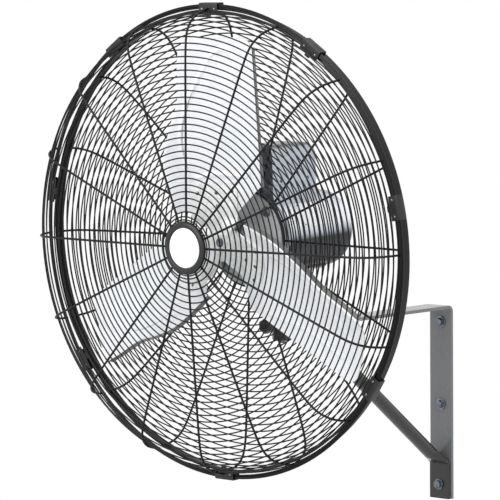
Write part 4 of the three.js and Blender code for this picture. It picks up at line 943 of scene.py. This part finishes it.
# ---- bracket ------------------------------------------------------------------------------
def brace_loft():
    """The brace: a round tube squashed flat at both ends. Each section is a rounded rectangle
    (w sgn(cos) |cos|^p, h sgn(sin) |sin|^p) whose power p falls from 1 to 0.3 as the tube flattens."""
    top = STRAP_TOP - BAR_THICK - GAP - PIPE_FLAT_HALF
    foot = -(BAR_THICK + GAP + PIPE_FLAT_HALF)
    upper, lower = np.array([-389.0, top]), np.array([foot, -190.0])
    along = (lower - upper) / np.linalg.norm(lower - upper)
    across = np.array([-along[1], along[0]])
    length = np.linalg.norm(lower - upper)
    mitre = lambda square: (across + square) / np.dot(across + square, across)
    square_top, square_foot = np.array([0.0, 1]), np.array([1.0, 0])
    stops = np.concatenate([np.linspace(0, PIPE_EASE, 16), np.linspace(length - PIPE_EASE, length, 16)])
    inner = stops[1:-1]
    flat = 1 - smoothstep(np.minimum(inner, length - inner), 2, PIPE_EASE - 2)
    centre = np.concatenate([[[-425, top], upper], upper + along * inner[:, None], [lower, [foot, -258]]])
    normal = np.concatenate([[square_top, mitre(square_top)],
                             np.broadcast_to(across, (len(inner), 2)), [mitre(square_foot), square_foot]])
    flat = np.concatenate([[1, 1], flat, [1, 1]])[:, None]
    a = (np.arange(48) + 0.5) * TAU / 48
    power = 1 - 0.7 * flat
    half_width = PIPE_RADIUS + (PIPE_FLAT_WIDE - PIPE_RADIUS) * flat
    half_height = PIPE_RADIUS + (PIPE_FLAT_HALF - PIPE_RADIUS) * flat
    wide = half_width * np.sign(np.cos(a)) * np.abs(np.cos(a)) ** power
    thick = half_height * np.sign(np.sin(a)) * np.abs(np.sin(a)) ** power
    path = np.insert(centre, 0, 0, axis=1)
    upward = np.insert(normal, 0, 0, axis=1)
    sideways = np.broadcast_to([1.0, 0, 0], path.shape)
    return swept(path, sideways, upward, np.stack([wide, thick], -1))


def lobed_knob(profile, lobes=6, depth=0.13):
    """A turned profile whose radius shrinks in hollows: r (1 - d (1/2 - cos(n a) / 2) g), where g is 1
    on the grip."""
    angle = np.linspace(0, TAU, 120, endpoint=False)[:, None]
    r, y = profile[None, :, 0], profile[None, :, 1]
    grip = smoothstep(-y, 1.0, 7.0) * smoothstep(r, 5.0, 12.0)
    radius = r * (1 - depth * (0.5 - 0.5 * np.cos(lobes * angle)) * grip)
    return surface(about_shaft(radius, y, angle), wrap_rows=True)


class FAN_OT_bracket(bpy.types.Operator):
    """Wall arm, brace and the bolts that hold them"""
    bl_idname = "fan.bracket"
    bl_label = "Wall bracket"

    def execute(self, context):
        softened("bent_flat_bar", "wall_arm", "bracket", "grey_bar", 0.9)
        piece("brace_pipe", brace_loft(), "bracket", "dark_tube", ("brace_tube",), from_part, 50)
        for node in ("wall_bolt_1", "wall_bolt_2", "wall_bolt_3", "brace_bolt", "brace_nut"):
            softened(node + "_hex", node, "bracket", "plated_steel", 0.5)
        return {"FINISHED"}


class FAN_OT_swivel(bpy.types.Operator):
    """Swivel socket, yoke, saddle, their screws and the two clamp knobs"""
    bl_idname = "fan.swivel"
    bl_label = "Swivel and tilt"

    def execute(self, context):
        softened("pivot_socket", "swivel_socket", "bracket", "dark_tube", 0.8)
        softened("pivot_yoke", "swivel_yoke", "yoke", "dark_tube", 0.8)
        softened("motor_cradle", "motor_saddle", "head", "dark_tube", 0.8)
        softened("spigot_hex", "spigot_screw", "yoke", "plated_steel", 0.4)
        softened("tilt_hex", "tilt_bolt", "yoke", "plated_steel", 0.5)
        for number in (1, 2):
            softened(f"saddle_screw_{number}_hex", f"saddle_screw_{number}", "head", "plated_steel", 0.3)
        pan = eased([[0, -24], [10.5, -23.6], [14, -20], [14, -8], [8, -0.4], [4, 0], [4, 14.6], [0, 14.6]],
                    [0, 3, 4, 4, 1, 0.3, 0.5, 0], 7, closed=False)
        points, faces = lobed_knob(pan)
        points = points + [0, -PIVOT_REACH - 28, PAN_KNOB_HEIGHT]
        piece("pan_hand_knob", (points, faces), "pan_clamp", "black_plastic", ("pan_knob",), from_part)
        tilt = eased([[0, -20], [10.5, -19.6], [14, -16.5], [14, -7], [9.5, -0.4], [7.8, 1], [0, 1]],
                     [0, 3, 4, 4, 1, 0.3, 0], 7, closed=False)
        points, faces = lobed_knob(tilt)
        x, y, z = np.moveaxis(points, -1, 0)
        points = np.stack([24.6 - y, x - PIVOT_REACH, z + TILT_KNOB_HEIGHT], -1)
        piece("tilt_hand_knob", (points, faces), "tilt_clamp", "black_plastic", ("tilt_knob",), from_part)
        return {"FINISHED"}


# ---- stage --------------------------------------------------------------------------------
def aim(obj, place, target):
    """Puts an object at a place with its -Z axis toward a target."""
    obj.location = place
    obj.rotation_euler = (Vector(target) - Vector(place)).to_track_quat("-Z", "Y").to_euler()


def background_mask(sh):
    """1 for rays that see the background, directly or in a reflection."""
    rays = [sh.node("LightPath", output=name) for name in
            ("Is Camera Ray", "Is Glossy Ray", "Is Transmission Ray")]
    return sh.maths("MAXIMUM", sh.maths("MAXIMUM", rays[0], rays[1]), rays[2])


class FAN_OT_stage(bpy.types.Operator):
    """Pale floor, soft light, white surroundings and the camera"""
    bl_idname = "fan.stage"
    bl_label = "Stage"

    def execute(self, context):
        scene = context.scene
        scene.view_settings.view_transform = "Standard"
        self.floor(scene)
        self.surroundings(scene)
        self.lamp("key_light", (-0.4, -3.6, 1.9), 2.0, 84.0)
        self.lamp("fill_light", (2.6, -2.8, 0.6), 2.4, 14.0)
        self.lamp("top_light", (0.3, -0.6, 3.2), 1.6, 26.0)
        self.camera(scene)
        return {"FINISHED"}

    def floor(self, scene):
        """A round floor at 1.4 m below the arm, r and angle on a grid."""
        r = np.linspace(0, 2.5, 12)[:, None]
        a = np.linspace(0, TAU, 96, endpoint=False)[None]
        points, faces = surface(np.stack([r * np.cos(a), r * np.sin(a) - 0.4, 0 * r * a - 1.4], -1),
                                wrap_cols=True)
        mesh = bpy.data.meshes.new("pale_floor")
        mesh.from_pydata(points.tolist(), [], faces[0].tolist())
        shell = bmesh.new()
        shell.from_mesh(mesh)
        bmesh.ops.remove_doubles(shell, verts=shell.verts, dist=1e-6)
        shell.to_mesh(mesh)
        shell.free()
        made, sh, at = start_finish("look_floor")
        cloud = sh.noise(at, 3.0)
        colour = sh.blend(cloud, rgba(tone("ececea")), rgba(tone("f2f2f0")))
        mesh.materials.append(end_finish(made, colour, 0.8, 0.0))
        floor = bpy.data.objects.new("pale_floor", mesh)
        scene.collection.objects.link(floor)

    def surroundings(self, scene):
        """White where it is seen, softer where it lights the object."""
        world = bpy.data.worlds.new("white_room")
        world.use_nodes = True
        scene.world = world
        sh = Shading(world.node_tree)
        lit = sh.node("Background", {"Color": (0.95, 0.97, 1.0, 1.0), "Strength": 0.82})
        seen = sh.node("Background", {"Color": (1.0, 1.0, 1.0, 1.0), "Strength": 1.0})
        both = sh.node("MixShader", {0: background_mask(sh), 1: lit, 2: seen})
        sh.node("OutputWorld", {"Surface": both})

    def lamp(self, name, place, size, power):
        """A square soft lamp aimed at the head."""
        light = bpy.data.lights.new(name, "AREA")
        light.size = size
        light.energy = power
        obj = bpy.data.objects.new(name, light)
        bpy.context.scene.collection.objects.link(obj)
        aim(obj, place, (0.0, -0.55, 0.25))

    def camera(self, scene):
        """A long lens from the front right, a little above, rolled slightly, for a 500 pixel square."""
        azimuth, elevation, roll = np.radians([42.331, 4.818, -0.553]).tolist()
        pixels = 3127.9
        back = Vector((math.sin(azimuth) * math.cos(elevation), -math.cos(azimuth) * math.cos(elevation),
                       math.sin(elevation)))
        right = Vector((math.cos(azimuth), math.sin(azimuth), 0.0))
        up = right.cross(-back)
        right, up = (math.cos(roll) * right + math.sin(roll) * up,
                     math.cos(roll) * up - math.sin(roll) * right)
        forward = (-back + right * (35.73 / pixels) - up * (6.47 / pixels)).normalized()
        right = (right - forward * right.dot(forward)).normalized()
        up = right.cross(forward)
        lens = bpy.data.cameras.new("front_right_camera")
        lens.sensor_width = 36.0
        lens.lens = lens.sensor_width * pixels / WINDOW
        lens.clip_start, lens.clip_end = 0.1, 100.0
        camera = bpy.data.objects.new("front_right_camera", lens)
        turn = Matrix((right, up, -forward)).transposed().to_4x4()
        camera.matrix_world = Matrix.Translation(Vector(HEAD_ORIGIN) + back * 5.4413) @ turn
        scene.collection.objects.link(camera)
        scene.camera = camera


OPERATORS = (FAN_OT_front_guard, FAN_OT_rear_guard, FAN_OT_rim, FAN_OT_rim_clips, FAN_OT_badge, FAN_OT_blades,
             FAN_OT_hub, FAN_OT_motor, FAN_OT_motor_box, FAN_OT_clamp, FAN_OT_bracket, FAN_OT_swivel,
             FAN_OT_stage)


class FAN_PT_panel(bpy.types.Panel):
    """Lists the fan's pieces, sizes and colours"""
    bl_idname = "FAN_PT_panel"
    bl_label = "Wall fan"
    bl_space_type = "VIEW_3D"
    bl_region_type = "UI"
    bl_category = "Fan"

    def draw(self, context):
        for operator in OPERATORS:
            self.layout.operator(operator.bl_idname, text=operator.bl_label)
        for group in (context.scene.fan_sizes, context.scene.fan_colours):
            box = self.layout.box()
            for name in group.__annotations__:
                box.prop(group, name)


CLASSES = (FanSizes, FanColours, *OPERATORS, FAN_PT_panel)


def register():
    for made in CLASSES:
        bpy.utils.register_class(made)
    bpy.types.Scene.fan_sizes = PointerProperty(type=FanSizes)
    bpy.types.Scene.fan_colours = PointerProperty(type=FanColours)


def unregister():
    del bpy.types.Scene.fan_colours
    del bpy.types.Scene.fan_sizes
    for made in reversed(CLASSES):
        bpy.utils.unregister_class(made)


def main():
    """Builds the pieces in order."""
    register()
    for operator in OPERATORS:
        group, name = operator.bl_idname.split(".")
        getattr(getattr(bpy.ops, group), name)()
    bpy.context.view_layer.update()


if __name__ == "__main__":
    main()
